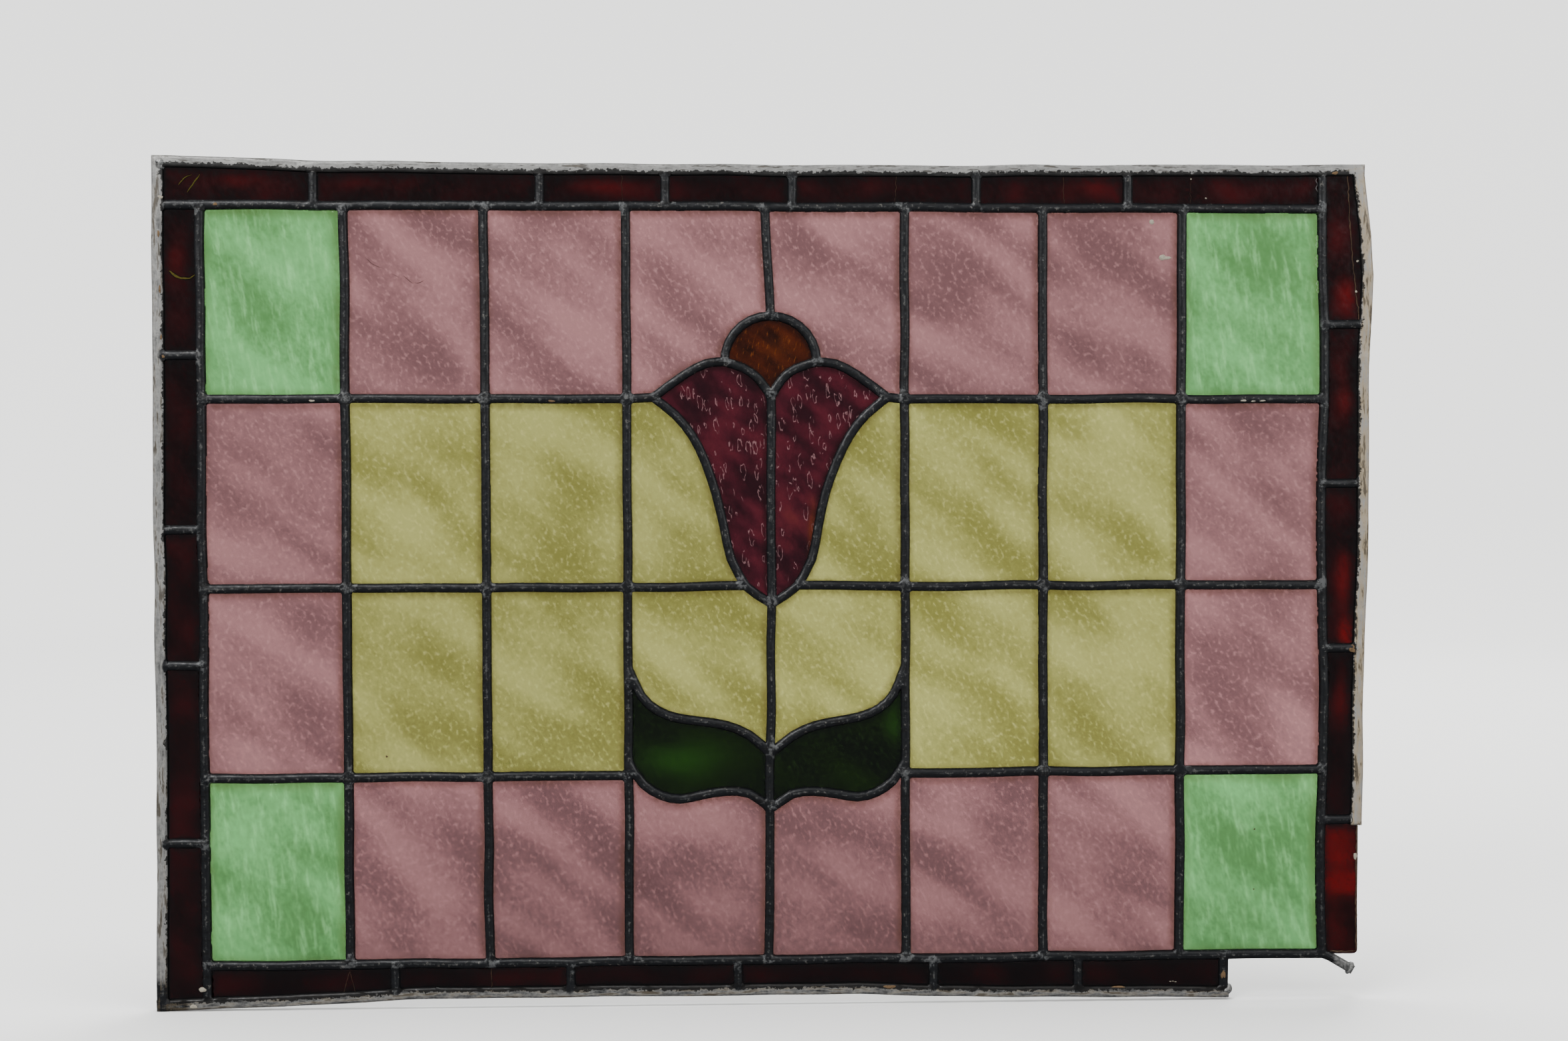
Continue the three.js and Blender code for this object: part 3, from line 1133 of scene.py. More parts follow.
@dataclass
class LeadLattice:
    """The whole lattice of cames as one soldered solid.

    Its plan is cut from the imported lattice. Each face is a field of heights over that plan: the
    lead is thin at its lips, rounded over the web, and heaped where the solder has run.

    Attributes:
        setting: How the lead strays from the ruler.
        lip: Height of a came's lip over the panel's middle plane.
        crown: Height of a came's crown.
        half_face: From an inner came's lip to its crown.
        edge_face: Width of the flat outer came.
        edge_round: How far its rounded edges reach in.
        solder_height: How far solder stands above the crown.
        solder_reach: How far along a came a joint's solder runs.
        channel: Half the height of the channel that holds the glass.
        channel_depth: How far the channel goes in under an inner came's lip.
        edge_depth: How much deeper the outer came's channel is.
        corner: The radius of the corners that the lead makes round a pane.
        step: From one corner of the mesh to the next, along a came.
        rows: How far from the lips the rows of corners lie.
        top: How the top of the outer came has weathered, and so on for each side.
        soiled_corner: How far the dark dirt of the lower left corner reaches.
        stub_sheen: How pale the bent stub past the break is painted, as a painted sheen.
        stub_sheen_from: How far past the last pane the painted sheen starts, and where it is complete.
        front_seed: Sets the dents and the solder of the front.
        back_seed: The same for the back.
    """

    setting: HandSetting
    lip: float = 1.95
    crown: float = 3.5
    half_face: float = 3.2
    edge_face: float = 8.0
    edge_round: float = 1.4
    solder_height: float = 0.45
    solder_reach: float = 11.0
    channel: float = 1.6
    channel_depth: float = 2.4
    edge_depth: float = 4.1
    corner: float = 1.5
    step: float = 3.3
    rows: tuple[float, ...] = (0.75, 1.8, 3.1, 4.6, 6.2)
    top: SideWeather = SideWeather(bloom=0.78, tan=0.46, cement=3.2)
    left: SideWeather = SideWeather(bloom=0.74, tan=0.52, cement=0.9)
    right: SideWeather = SideWeather(bloom=1.0, tan=0.74, cement=1.2, reach=(22.0, 14.0))
    sill: SideWeather = SideWeather(bloom=0.66, tan=0.56, cement=3.2, reach=(20.0, 14.0))
    soiled_corner: float = 26.0
    stub_sheen: float = 0.64
    stub_sheen_from: tuple[float, float] = (3.0, 11.0)
    front_seed: int = 11
    back_seed: int = 47
    openings: list[Outline] = field(default_factory=list)
    outside: Outline = field(default_factory=lambda: Outline(np.zeros((0, 2))))
    break_corner: tuple[float, float] = (0.0, 0.0)

    def read(self, frame: dict[str, Any]) -> None:
        """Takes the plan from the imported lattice.
        """
        just_over_the_lip, least_opening = -1.97, 40.0
        lines = section(frame["nodes"]["lead_cames"].data, just_over_the_lip)
        lines.sort(key=lambda line: abs(line.area))
        self.outside = lines.pop().wound(counter_clockwise=False)
        whole = [line for line in lines if abs(line.area) > least_opening]
        self.openings = [line.wound(counter_clockwise=True) for line in whole]
        last_sill_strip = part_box("ruby_sill_6")[1]
        last_side_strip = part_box("ruby_right_5")[1]
        self.break_corner = (last_sill_strip.x / MM, last_side_strip.z / MM)
        LOG.info("lead plan: %d openings", len(self.openings))

    def in_break(self, points: Points) -> np.ndarray:
        """Tells which points lie in the lost corner, where the outer came is gone."""
        u, v = self.break_corner
        return (points[:, 0] > u) & (points[:, 1] < v)

    def rim(self) -> tuple[Points, Points]:
        """The runs of the outline that the flat outer came still follows.

        Returns:
            Where the runs start and end.
        """
        starts, ends = self.outside.points, self.outside.ends
        kept = ~(self.in_break(starts) & self.in_break(ends))
        return starts[kept], ends[kept]

    def lips(self, points: Points, reach: float) -> tuple[Points, Points]:
        """Every run of the plan's outlines that comes near the box of some points.

        Args:
            points: The points.
            reach: How far from their box a run may lie.

        Returns:
            Where the runs start and end.
        """
        every = [self.outside, *self.openings]
        starts = np.concatenate([line.points for line in every])
        ends = np.concatenate([line.ends for line in every])
        low, high = points.min(0) - reach, points.max(0) + reach
        near = (np.maximum(starts, ends) > low).all(1) & (np.minimum(starts, ends) < high).all(1)
        return starts[near], ends[near]

    def corners(self, borders: list[Outline]) -> Points:
        """Lays rows of corners along both sides of every came, none too close to another.

        Args:
            borders: The softened outlines, each with the lead on its right.

        Returns:
            The corners, one row each.
        """
        cell_size, slack = 2.0, 0.12
        fine_row, fine_room, coarse_room = 2.5, 0.62, 1.05
        taken: dict[tuple[int, int], list[Points]] = {}
        kept: list[Points] = []
        for row in self.rows:
            room = fine_room if row < fine_row else coarse_room
            rows = []
            for line in borders:
                shifted = line.points + line.right() * row
                way = nearest(shifted, *self.lips(shifted, row))
                rows.append(shifted[np.linalg.norm(way, axis=1) > row - slack])
            candidates = np.concatenate(rows)
            for point in candidates[self.in_lead(candidates)]:
                across, up = (point // cell_size).astype(int).tolist()
                cells = [(across + i, up + j) for i in (-1, 0, 1) for j in (-1, 0, 1)]
                near = [other for cell in cells for other in taken.get(cell, ())]
                if all((q[0] - point[0]) ** 2 + (q[1] - point[1]) ** 2 > room * room for q in near):
                    taken.setdefault((across, up), []).append(point)
                    kept.append(point)
        return np.array(kept)

    def in_lead(self, points: Points) -> np.ndarray:
        """Tells which points lie on the lead.

        Args:
            points: The places to test.

        Returns:
            True for each point on the lead.
        """
        inside = self.outside.holds(points)
        for opening in self.openings:
            inside &= ~opening.holds(points)
        return inside

    def measured(self, points: Points) -> dict[str, np.ndarray]:
        """Measures each corner against the outlines.

        Args:
            points: Corners of the plan.

        Returns:
            The distances to the nearest and the third outline, and to the rim.
        """
        reach = self.solder_reach * 2
        lines = [self.outside, *self.openings]
        ordered = np.sort(np.stack([line.distance(points, reach) for line in lines]), axis=0)
        rim = np.linalg.norm(nearest(points, *self.rim()), axis=1)
        return {"first": ordered[0], "third": ordered[2], "rim": rim}

    def height(self, points: Points, measures: dict[str, np.ndarray], seed: int) -> np.ndarray:
        """The height of one face over the panel's middle plane.

        Args:
            points: Corners of the plan.
            measures: What measured() gave for them.
            seed: Sets the dents and the solder, which differ from front to back.

        Returns:
            The height of each corner.
        """
        edge_lower, solder_at_lip, dents_at_lip = 0.35, 0.25, 0.35
        flat = smoothstep(measures["rim"], self.edge_face + 1.2, self.edge_face - 0.4)
        rounding = self.half_face + (self.edge_round - self.half_face) * flat
        share = np.clip(measures["first"] / rounding, 0, 1)
        dome = np.sqrt(1 - (1 - share) ** 2)
        # Broad dents from handling, and the small ones that the lathekin left.
        dents = Undulation(0.1, 7, 30, seed).at(points) + Undulation(0.05, 3.5, 7, seed + 1).at(points)
        solder = self.solder(points, measures, seed)
        rise = (self.crown - edge_lower * flat - self.lip) * dome
        rise += self.solder_height * solder * (solder_at_lip + (1 - solder_at_lip) * dome)
        return self.lip + rise + dents * (dents_at_lip + (1 - dents_at_lip) * dome)

    def solder(self, points: Points, measures: dict[str, np.ndarray], seed: int) -> np.ndarray:
        """How much solder lies at each corner, from 0 to 1.

        Args:
            points: Corners of the plan.
            measures: What measured() gave for them.
            seed: Sets the ragged edge of the solder.

        Returns:
            The amount at each corner.
        """
        full_within = 5.0
        ragged = Undulation(1.9, 6, 22, seed + 2).at(points)
        return smoothstep(measures["third"] + ragged, self.half_face + self.solder_reach, full_within)

    def build(self) -> bpy.types.Object:
        """Builds the lattice and paints the layers that its material reads.

        Returns:
            The lattice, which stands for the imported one.
        """
        borders = [line.softened(self.step, self.corner) for line in [self.outside, *self.openings]]
        surface = Surface.triangulated(borders, self.corners(borders))
        plan = surface.flat
        measures = self.measured(plan)
        moved = self.setting.moved(plan)
        front = surface.layer(moved, -self.height(plan, measures, self.front_seed))
        back = surface.layer(moved, self.height(plan, measures, self.back_seed))
        rings = []
        ring_plans = [plan, plan]
        for ring in surface.borders:
            here = Outline(plan[ring])
            inward = self.channel_walls(here)
            deep = self.setting.moved(inward)
            level = moved[ring]
            closed = np.linalg.norm(inward - here.points, axis=1) < 0.01
            web = np.where(closed, self.channel * 0.5, self.channel)
            rows = ((level, -self.channel), (deep, -web), (deep, web), (level, self.channel))
            rings.append([surface.layer(flat, depth) for flat, depth in rows])
            ring_plans.extend([here.points, inward, inward, here.points])
        surface.close(front, back, rings)
        piece = new_piece("lead_lattice", np.concatenate(surface.corners), surface.faces)
        self.weather(piece, np.concatenate(ring_plans))
        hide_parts("lead_cames")
        return piece

    def channel_walls(self, border: Outline) -> Points:
        """Where the bottom of the channel lies behind each corner of a border.

        Args:
            border: A softened outline, with the lead on its right.

        Returns:
            The places of the channel's bottom, which are the border's own where it is closed.
        """
        touching, slack, squarely = 0.2, 0.6, 0.6
        way = nearest(border.points, *self.rim())
        distance = np.linalg.norm(way, axis=1)
        right = border.right()
        on_rim = distance < touching
        facing = (unit(way) * right).sum(1)
        towards_rim = (distance < self.edge_face + slack) & (facing > squarely)
        inward = border.points + right * self.channel_depth
        inward[towards_rim] += unit(way[towards_rim]) * self.edge_depth
        inward[on_rim] = border.points[on_rim]
        return inward

    def weather(self, piece: bpy.types.Object, plan: Points) -> None:
        """Paints solder, bloom, old putty, cement, the crown's wear and painted highlight, and the painted
        sheen of the bent stub on the lattice.

        Args:
            piece: The lattice.
            plan: The drawn place of every corner of its mesh.
        """
        measures = self.measured(plan)
        rim = measures["rim"]
        outer = smoothstep(rim, self.edge_face + 0.9, self.edge_face - 0.9)
        low, high = plan.min(0), plan.max(0)
        sides = (
            (self.top, high[1] - plan[:, 1]),
            (self.left, plan[:, 0] - low[0]),
            (self.right, high[0] - plan[:, 0]),
            (self.sill, plan[:, 1] - low[1]),
        )
        shares = [smoothstep(distance, *side.reach) for side, distance in sides]
        total = np.maximum(sum(shares), 1e-6)
        bloom, tan, band = np.zeros((3, len(plan)))
        for (side, _), share in zip(sides, shares):
            bloom += share * side.bloom
            tan += share * side.tan
            band += share * side.cement
        soiled = np.linalg.norm(plan - low, axis=1)
        bloom -= total * 0.6 * smoothstep(soiled, self.soiled_corner, self.soiled_corner * 0.4)
        # Painted sheen: the bent stub past the break is painted pale with the oxide colour.
        last_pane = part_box("green_r4_c8")
        past_it = smoothstep(plan[:, 0] - last_pane[1].x / MM, *self.stub_sheen_from)
        stub = past_it * (plan[:, 1] < last_pane[0].z / MM)
        cement = np.where(rim < self.edge_face + 1.0, band / total - (self.edge_face - rim), NO_CEMENT)
        paint(
            piece,
            solder=self.solder(plan, measures, self.front_seed) * (1 - 0.5 * outer),
            # The bloom layer also carries the painted sheen of the bent stub.
            bloom=np.maximum(outer * bloom / total, self.stub_sheen * stub),
            tan=outer * tan / total,
            cement=np.maximum(cement, NO_CEMENT),
            # Painted highlight and wear along the crown of every came.
            ridge=smoothstep(measures["first"], 1.9, 3.1),
            upright=(shares[1] + shares[2]) / total,
        )


# ---------------------------------------------------------------- the glass


class Glass(Enum):
    """The kinds of glass in the panel, by the first word of a pane's name."""

    GREEN = "green"
    MAUVE = "mauve"
    YELLOW = "yellow"
    RUBY = "ruby"
    PETAL = "petal"
    HEART = "tulip"
    LEAF = "leaf"


@dataclass(frozen=True)
class Sheet:
    """What a pane is cut from.

    Attributes:
        slot: The record's material slot; not used.
        finish: How the glass looks.
        relief: The rolled or hammered relief of the front.
        back: The gentler relief of the back.
        pitch: From one corner of the mesh to the next.
        tone_spread: How much the panes differ in tone.
    """

    slot: Slot
    finish: StainedGlass
    relief: tuple[Undulation | Dimples, ...]
    back: Undulation
    pitch: float
    tone_spread: float = 0.06


ROLLED = (Undulation(0.06, 9, 26, 21), Undulation(0.022, 5, 9, 22))
DRAWN = (Undulation(0.06, 9, 24, 31, upright=4.0), Undulation(0.02, 5, 9, 32, upright=2.0))
HAMMERED = (Dimples(6.4, 0.34, 1.5, 41), Undulation(0.05, 14, 40, 42))
WAVY = (Undulation(0.05, 10, 34, 51),)
FLOATED = Undulation(0.03, 16, 50, 61)

SHEETS = {
    Glass.GREEN: Sheet(
        Slot.GREEN,
        StainedGlass(
            "green streaky cathedral glass",
            deep="#406a3a",
            light="#5a955a",
            grime_and_shadow="#3b4c20",
            glow="#63985a",
            bright="#86c886",
            figure=Figure(5.0, detail=4.0, roughness=0.7, upright=5.0, lean=-8.0),
            bright_from=(0.44, 0.84),
            brightest=0.38,
            mottle_share=0.34,
            grime_and_shadow_reach=9.0,
            most_grime_and_shadow=0.75,
        ),
        DRAWN,
        FLOATED,
        pitch=2.6,
    ),
    Glass.MAUVE: Sheet(
        Slot.MAUVE,
        StainedGlass(
            "mauve cathedral glass",
            deep="#563b3d",
            light="#7c5759",
            grime_and_shadow="#40251b",
            glow="#816259",
            bright="#90696a",
        ),
        ROLLED,
        FLOATED,
        pitch=2.6,
    ),
    Glass.YELLOW: Sheet(
        Slot.YELLOW,
        StainedGlass(
            "straw cathedral glass",
            deep="#61602d",
            light="#85854c",
            grime_and_shadow="#433b13",
            glow="#838252",
            bright="#9a9960",
        ),
        ROLLED,
        FLOATED,
        pitch=2.6,
    ),
    Glass.RUBY: Sheet(
        Slot.RUBY,
        StainedGlass(
            "flashed ruby glass",
            deep="#0a0202",
            light="#1b0304",
            grime_and_shadow="#050404",
            glow="#500304",
            bright="#1e0304",
            clouds_and_shade=Figure(30.0, detail=1.0, roughness=0.4),
            mottle_share=0.12,
            specular=0.05,
            grime_and_shadow_reach=9.0,
            most_grime_and_shadow=0.95,
        ),
        WAVY,
        FLOATED,
        pitch=3.0,
        tone_spread=0.25,
    ),
    Glass.PETAL: Sheet(
        Slot.WINE,
        StainedGlass(
            "wine hammered antique glass",
            deep="#1a060b",
            light="#3a0e18",
            grime_and_shadow="#0a0304",
            glow="#5e2812",
            bright="#8a686b",
            # Painted highlights: bright loops drawn into the colour of the wine glass.
            figure=HighlightLoops(5.0, upright=3.0, lean=-6.0, line=0.07, left_out=0.32),
            bright_from=(0.05, 1.0),
            brightest=0.42,
            clouds_and_shade=Figure(14.0, detail=1.0, roughness=0.4, upright=2.2, lean=-52.0),
            mottle_share=0.2,
            skin=Figure(2.2, detail=2.0, through=False),
            skin_height=0.12,
            roughness=(0.06, 0.14),
            grime_and_shadow_reach=5.0,
        ),
        HAMMERED,
        FLOATED,
        pitch=1.3,
    ),
    Glass.HEART: Sheet(
        Slot.AMBER,
        StainedGlass(
            "amber hammered antique glass",
            deep="#170602",
            light="#321003",
            grime_and_shadow="#0c0302",
            glow="#461e06",
            bright="#592d0c",
            figure=Figure(1.6, detail=2.0, roughness=0.6, upright=4.0, lean=10.0),
            bright_from=(0.6, 0.78),
            brightest=0.6,
            clouds_and_shade=Figure(11.0, detail=1.0, upright=2.2, lean=-52.0),
            skin=Figure(2.2, detail=2.0, through=False),
            skin_height=0.1,
            roughness=(0.06, 0.14),
            specular=0.2,
            grime_and_shadow_reach=4.0,
        ),
        HAMMERED,
        FLOATED,
        pitch=1.3,
    ),
    Glass.LEAF: Sheet(
        Slot.LEAF,
        StainedGlass(
            "bottle green glass",
            deep="#030602",
            light="#060f01",
            grime_and_shadow="#020402",
            glow="#143006",
            bright="#12210a",
            specular=0.05,
            grime_and_shadow_reach=5.0,
        ),
        WAVY,
        FLOATED,
        pitch=2.4,
    ),
}


@dataclass(frozen=True)
class Glow:
    """A patch of painted light in a pane, where its colour is brighter as if the light came through more
    strongly.

    Attributes:
        pane: The pane's name.
        across: Where its middle is, as a share of the pane's width from the left.
        up: The same, as a share of the pane's height from its foot.
        reach: How far it reaches across and upwards, in millimetres.
        strength: How strong it is in the middle.
    """

    pane: str
    across: float
    up: float
    reach: tuple[float, float]
    strength: float

    def at(self, edge: Outline, points: Points) -> np.ndarray:
        """How strongly each point glows.

        Args:
            edge: The pane's cut edge.
            points: Points of the pane.

        Returns:
            The strength at each point.
        """
        low, high = edge.points.min(0), edge.points.max(0)
        middle = low + (high - low) * (self.across, self.up)
        return self.strength * np.exp(-(((points - middle) / self.reach) ** 2).sum(1))


# Patches of painted light, each in a single pane.
GLOWS = (
    Glow("ruby_right_1", 0.45, 0.24, (9, 22), 0.34),
    Glow("ruby_right_3", 0.6, 0.05, (7, 14), 1.0),
    Glow("ruby_right_3", 0.5, 0.45, (7, 22), 0.5),
    Glow("ruby_right_5", 0.5, 0.9, (15, 18), 0.66),
    Glow("ruby_right_5", 0.62, 0.53, (17, 7), 1.2),
    Glow("ruby_right_5", 0.4, 0.7, (13, 9), 0.42),
    Glow("ruby_right_5", 0.55, 0.25, (22, 30), 0.36),
    Glow("ruby_top_1", 0.56, 0.5, (26, 8), 0.26),
    Glow("ruby_top_2", 0.3, 0.5, (44, 8), 0.2),
    Glow("ruby_top_3", 0.5, 0.5, (28, 7), 0.3),
    Glow("ruby_top_6", 0.7, 0.5, (34, 8), 0.22),
    Glow("ruby_right_2", 0.45, 0.5, (7, 34), 0.3),
    Glow("ruby_right_4", 0.5, 0.8, (7, 26), 0.35),
    Glow("ruby_left_1", 0.5, 0.72, (7, 24), 0.2),
    Glow("petal_right", 0.37, 0.22, (3.6, 25), 1.0),
    Glow("petal_right", 0.2, 0.26, (14, 34), 0.1),
    Glow("tulip_heart", 0.6, 0.6, (12, 10), 0.4),
    Glow("leaf_left", 0.34, 0.36, (30, 13), 0.56),
    Glow("leaf_right", 0.93, 0.62, (8, 17), 0.4),
)


@dataclass
class Glazing:
    """Every pane of glass, each in its place between the leads.

    Attributes:
        setting: How the lead and glass stray from the ruler.
        leads: The lattice that holds the panes.
        half_thickness: Half the thickness of the glass.
        corner: The radius of a pane's nipped corners.
        tuck: How far the cemented pane reaches in under the leads.
        lee: How much further the painted shadow of a lead reaches below it and to its left, in millimetres.
        shade: How much darker the glass is at the foot of the panel than at its top.
        seat: How far from the lead the relief starts, below zero under it, and where it is full.
        swell: How far the relief of the front may go below its face and above it.
        cemented_name: The piece name of the pane that is one solid with the leads.
        materials: The material of each kind of glass.
    """

    setting: HandSetting
    leads: LeadLattice
    half_thickness: float = 1.5
    corner: float = 3.4
    tuck: float = 1.9
    lee: float = 2.6
    shade: float = 0.42
    seat: tuple[float, float] = (-0.5, 3.0)
    swell: tuple[float, float] = (-0.5, 0.3)
    cemented_name: str = "ruby_top_4"
    materials: dict[Glass, bpy.types.Material] = field(default_factory=dict)

    def build(self, frame: dict[str, Any]) -> list[bpy.types.Object]:
        """Builds every pane.


        Returns:
            The panes.
        """
        self.materials = {glass: sheet.finish.material() for glass, sheet in SHEETS.items()}
        panes = []
        outlines: dict[str, Outline] = {}
        for name, node in frame["nodes"].items():
            if name != "lead_cames":
                outlines[name] = max(section(node.data, 0.0), key=lambda line: abs(line.area))
        for name, outline in sorted(outlines.items()):
            pane = self.pane(name, outline)
            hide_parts(name)
            panes.append(pane)
        panes.append(self.pane(self.cemented_name, self.cemented(outlines.values())))
        return panes

    def cemented(self, others: Iterable[Outline]) -> Outline:
        """The outline of the pane that has no node: it fills the one opening without a pane.

        Args:
            others: The outlines of the panes that have one.

        Returns:
            Its outline.
        """
        glazed = np.array([outline.middle() for outline in others])
        openings = self.leads.openings
        gaps = [np.linalg.norm(glazed - opening.middle(), axis=1).min() for opening in openings]
        empty = openings[int(np.argmax(gaps))]
        return Outline(empty.points + empty.right() * self.tuck * math.sqrt(2))

    def pane(self, name: str, outline: Outline) -> bpy.types.Object:
        """Builds one pane as a closed slab with relief on both faces.

        Args:
            name: The pane's name, whose first word says which glass it is.
            outline: Its cut edge.

        Returns:
            The pane, dressed.
        """
        glass = Glass(name.split("_")[0])
        sheet = SHEETS[glass]
        clear_of_edge, any_angle = sheet.pitch * 0.55, 7.3 * sum(map(ord, name))
        edge = outline.wound(counter_clockwise=True).softened(sheet.pitch, self.corner)
        inner = hexagonal(edge.points.min(0), edge.points.max(0), sheet.pitch)
        inner = inner[edge.holds(inner)]
        inner = inner[edge.distance(inner, sheet.pitch) > clear_of_edge]
        surface = Surface.triangulated([edge.wound(counter_clockwise=False)], inner)
        plan = surface.flat
        rim, lee = self.rim(plan)
        seated = smoothstep(rim, *self.seat)
        relief = sum(layer.at(plan) for layer in sheet.relief) * seated
        moved = self.setting.moved(plan)
        surface.close(
            surface.layer(moved, -self.half_thickness - np.clip(relief, *self.swell)),
            surface.layer(moved, self.half_thickness + sheet.back.at(plan) * seated),
            [[]],
        )
        pane = new_piece(name, np.concatenate(surface.corners), surface.faces, sharp=40.0)
        panel = self.leads.outside
        height = (plan[:, 1] - panel.middle()[1]) / np.ptp(panel.points[:, 1])
        # Painted shade: darker towards the panel's foot, over a tone that differs at random from pane to
        # pane.
        tone = 1 + sheet.tone_spread * math.sin(any_angle) + self.shade * height
        glow = sum((glow.at(edge, plan) for glow in GLOWS if glow.pane == name), np.zeros(len(plan)))
        # Painted shadow: the rim layer is stretched below and to the left of each lead, so the darkening
        # reaches further there.
        paint(pane, rim=np.tile(rim + self.lee * lee, 2), tone=np.tile(tone, 2), glow=np.tile(glow, 2))
        pane.data.materials.append(self.materials[glass])
        return pane

    def rim(self, plan: Points) -> tuple[np.ndarray, np.ndarray]:
        """Measures points of a pane against the lead round it.

        Args:
            plan: The points.

        Returns:
            How far each lies from the lead, below zero under it, and how far the lead is from
            being above it or to its right, from 0 to 1.
        """
        furthest_lead = 12.0
        way = nearest(plan, *self.leads.lips(plan, furthest_lead))
        distance = np.linalg.norm(way, axis=1)
        heading = unit(way)
        rim = np.where(self.leads.in_lead(plan), -distance, distance)
        return rim, 1 - np.clip(heading.max(1), 0, 1)


# ---------------------------------------------------------------- marks of age


@dataclass(frozen=True)
class Spot:
    """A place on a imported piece.

    Attributes:
        piece: The piece's name.
        across: The place, as a share of the piece's width from its left.
        up: The same, as a share of its height from its foot.
    """

    piece: str
    across: float
    up: float

    def drawn(self) -> Points:
        """The place in drawing coordinates.

        Returns:
            The place across and up, in millimetres.
        """
        low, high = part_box(self.piece)
        shares = np.array([self.across, self.up])
        corner, size = np.array([low.x, low.z]), np.array([high.x - low.x, high.z - low.z])
        return (corner + size * shares) / MM


@dataclass
class Relic:
    """A mesh in the making for small things that lie on the panel.

    Attributes:
        setting: How the lead and glass under them stray from the ruler.
        corners: The corners in millimetres: across, behind and up.
        faces: The faces.
    """

    setting: HandSetting
    corners: list[tuple[float, float, float]] = field(default_factory=list)
    faces: list[tuple[int, ...]] = field(default_factory=list)

    def loft(self, rows: list[Points], depths: list[np.ndarray]) -> None:
        """Joins rings of corners into one closed skin.

        Args:
            rows: The drawn places of each ring's corners.
            depths: How far behind the panel's middle they lie.
        """
        start, size = len(self.corners), len(rows[0])
        for row, depth in zip(rows, depths):
            moved = self.setting.moved(row)
            self.corners.extend(zip(moved[:, 0], depth, moved[:, 1]))
        ring = np.arange(size)
        for i in range(len(rows) - 1):
            near, far = start + i * size + ring, start + (i + 1) * size + ring
            walls = np.stack([near, np.roll(near, -1), np.roll(far, -1), far], axis=1)
            self.faces.extend(map(tuple, walls.tolist()))
        self.faces.append(tuple((start + ring[::-1]).tolist()))
        self.faces.append(tuple((start + (len(rows) - 1) * size + ring).tolist()))


@dataclass(frozen=True)
class Lump:
    """A splash, a lump or a bead that has set on the panel.

    Attributes:
        spot: Where its middle is.
        size: Half its width, half its height and half its thickness, in millimetres.
        level: How far in front of the panel's middle it sits.
        lean: How far it leans to the left of level, in degrees.
        lumpy: How uneven its outline is.
    """

    spot: Spot
    size: tuple[float, float, float]
    level: float = 1.6
    lean: float = 0.0
    lumpy: float = 1.0

    def add(self, relic: Relic, draw: np.random.Generator) -> None:
        """Adds the lump to a mesh, as rings from its back to its front.

        Args:
            relic: The mesh to add to.
            draw: Where the random draws come from.
        """
        corners, rings, first_tilt = 28, 11, 0.08
        around = np.linspace(0, math.tau, corners, endpoint=False)
        phases = draw.uniform(0, math.tau, 3)
        waves = zip((2, 3, 5), (0.12, 0.1, 0.05), phases)
        unevenness = sum(share * np.sin(turns * around + phase) for turns, share, phase in waves)
        wobble = 1 + self.lumpy * unevenness
        half_width, half_height, half_thickness = self.size
        lean = math.radians(self.lean)
        middle = self.spot.drawn()
        rows, depths = [], []
        for tilt in np.linspace(first_tilt, math.pi - first_tilt, rings):
            across = half_width * math.sin(tilt) * wobble * np.cos(around)
            up = half_height * math.sin(tilt) * wobble * np.sin(around)
            turned_across = across * math.cos(lean) - up * math.sin(lean)
            turned_up = across * math.sin(lean) + up * math.cos(lean)
            rows.append(middle + np.stack([turned_across, turned_up], axis=1))
            depths.append(-self.level - half_thickness * math.cos(tilt) * wobble)
        relic.loft(rows, depths)


@dataclass(frozen=True)
class Crack:
    """A fine line over the glass: a crack with dirt in it, or a scratch.

    Attributes:
        piece: The piece that it crosses.
        route: Its bends, as shares of that piece's width and height.
        width: Its width in millimetres.
        level: How far in front of the panel's middle the surface is.
        proud: How far it stands out of the surface.
    """

    piece: str
    route: tuple[tuple[float, float], ...]
    width: float = 0.5
    level: float = 1.6
    proud: float = 0.16

    def add(self, relic: Relic, draw: np.random.Generator) -> None:
        """Adds the crack to a mesh, as a thin ridge that wanders and tapers.

        Args:
            relic: The mesh to add to.
            draw: Where the random draws come from.
        """
        spacing, wander, tip, tapered, sunk = 2.2, 0.22, 0.3, 3.0, 0.3
        bends = np.array([Spot(self.piece, *share).drawn() for share in self.route])
        stops = np.concatenate([[0.0], np.cumsum(np.linalg.norm(np.diff(bends, axis=0), axis=1))])
        spread = np.linspace(0, stops[-1], max(4, int(stops[-1] / spacing)))
        line = np.stack([np.interp(spread, stops, bends[:, i]) for i in (0, 1)], axis=1)
        line[1:-1] += draw.normal(0, wander, line[1:-1].shape)
        run = unit(np.gradient(line, axis=0))
        side = np.stack([-run[:, 1], run[:, 0]], axis=1)
        taper = np.minimum(1, tip + np.minimum(spread, stops[-1] - spread) / tapered)
        half = (self.width / 2 * taper * draw.uniform(0.7, 1.3, len(line)))[:, None]
        rows = [np.stack([a, b, c]) for a, b, c in zip(line - side * half, line, line + side * half)]
        buried = sunk - self.level
        depths = [np.array([buried, -self.level - self.proud, buried])] * len(rows)
        relic.loft(rows, depths)


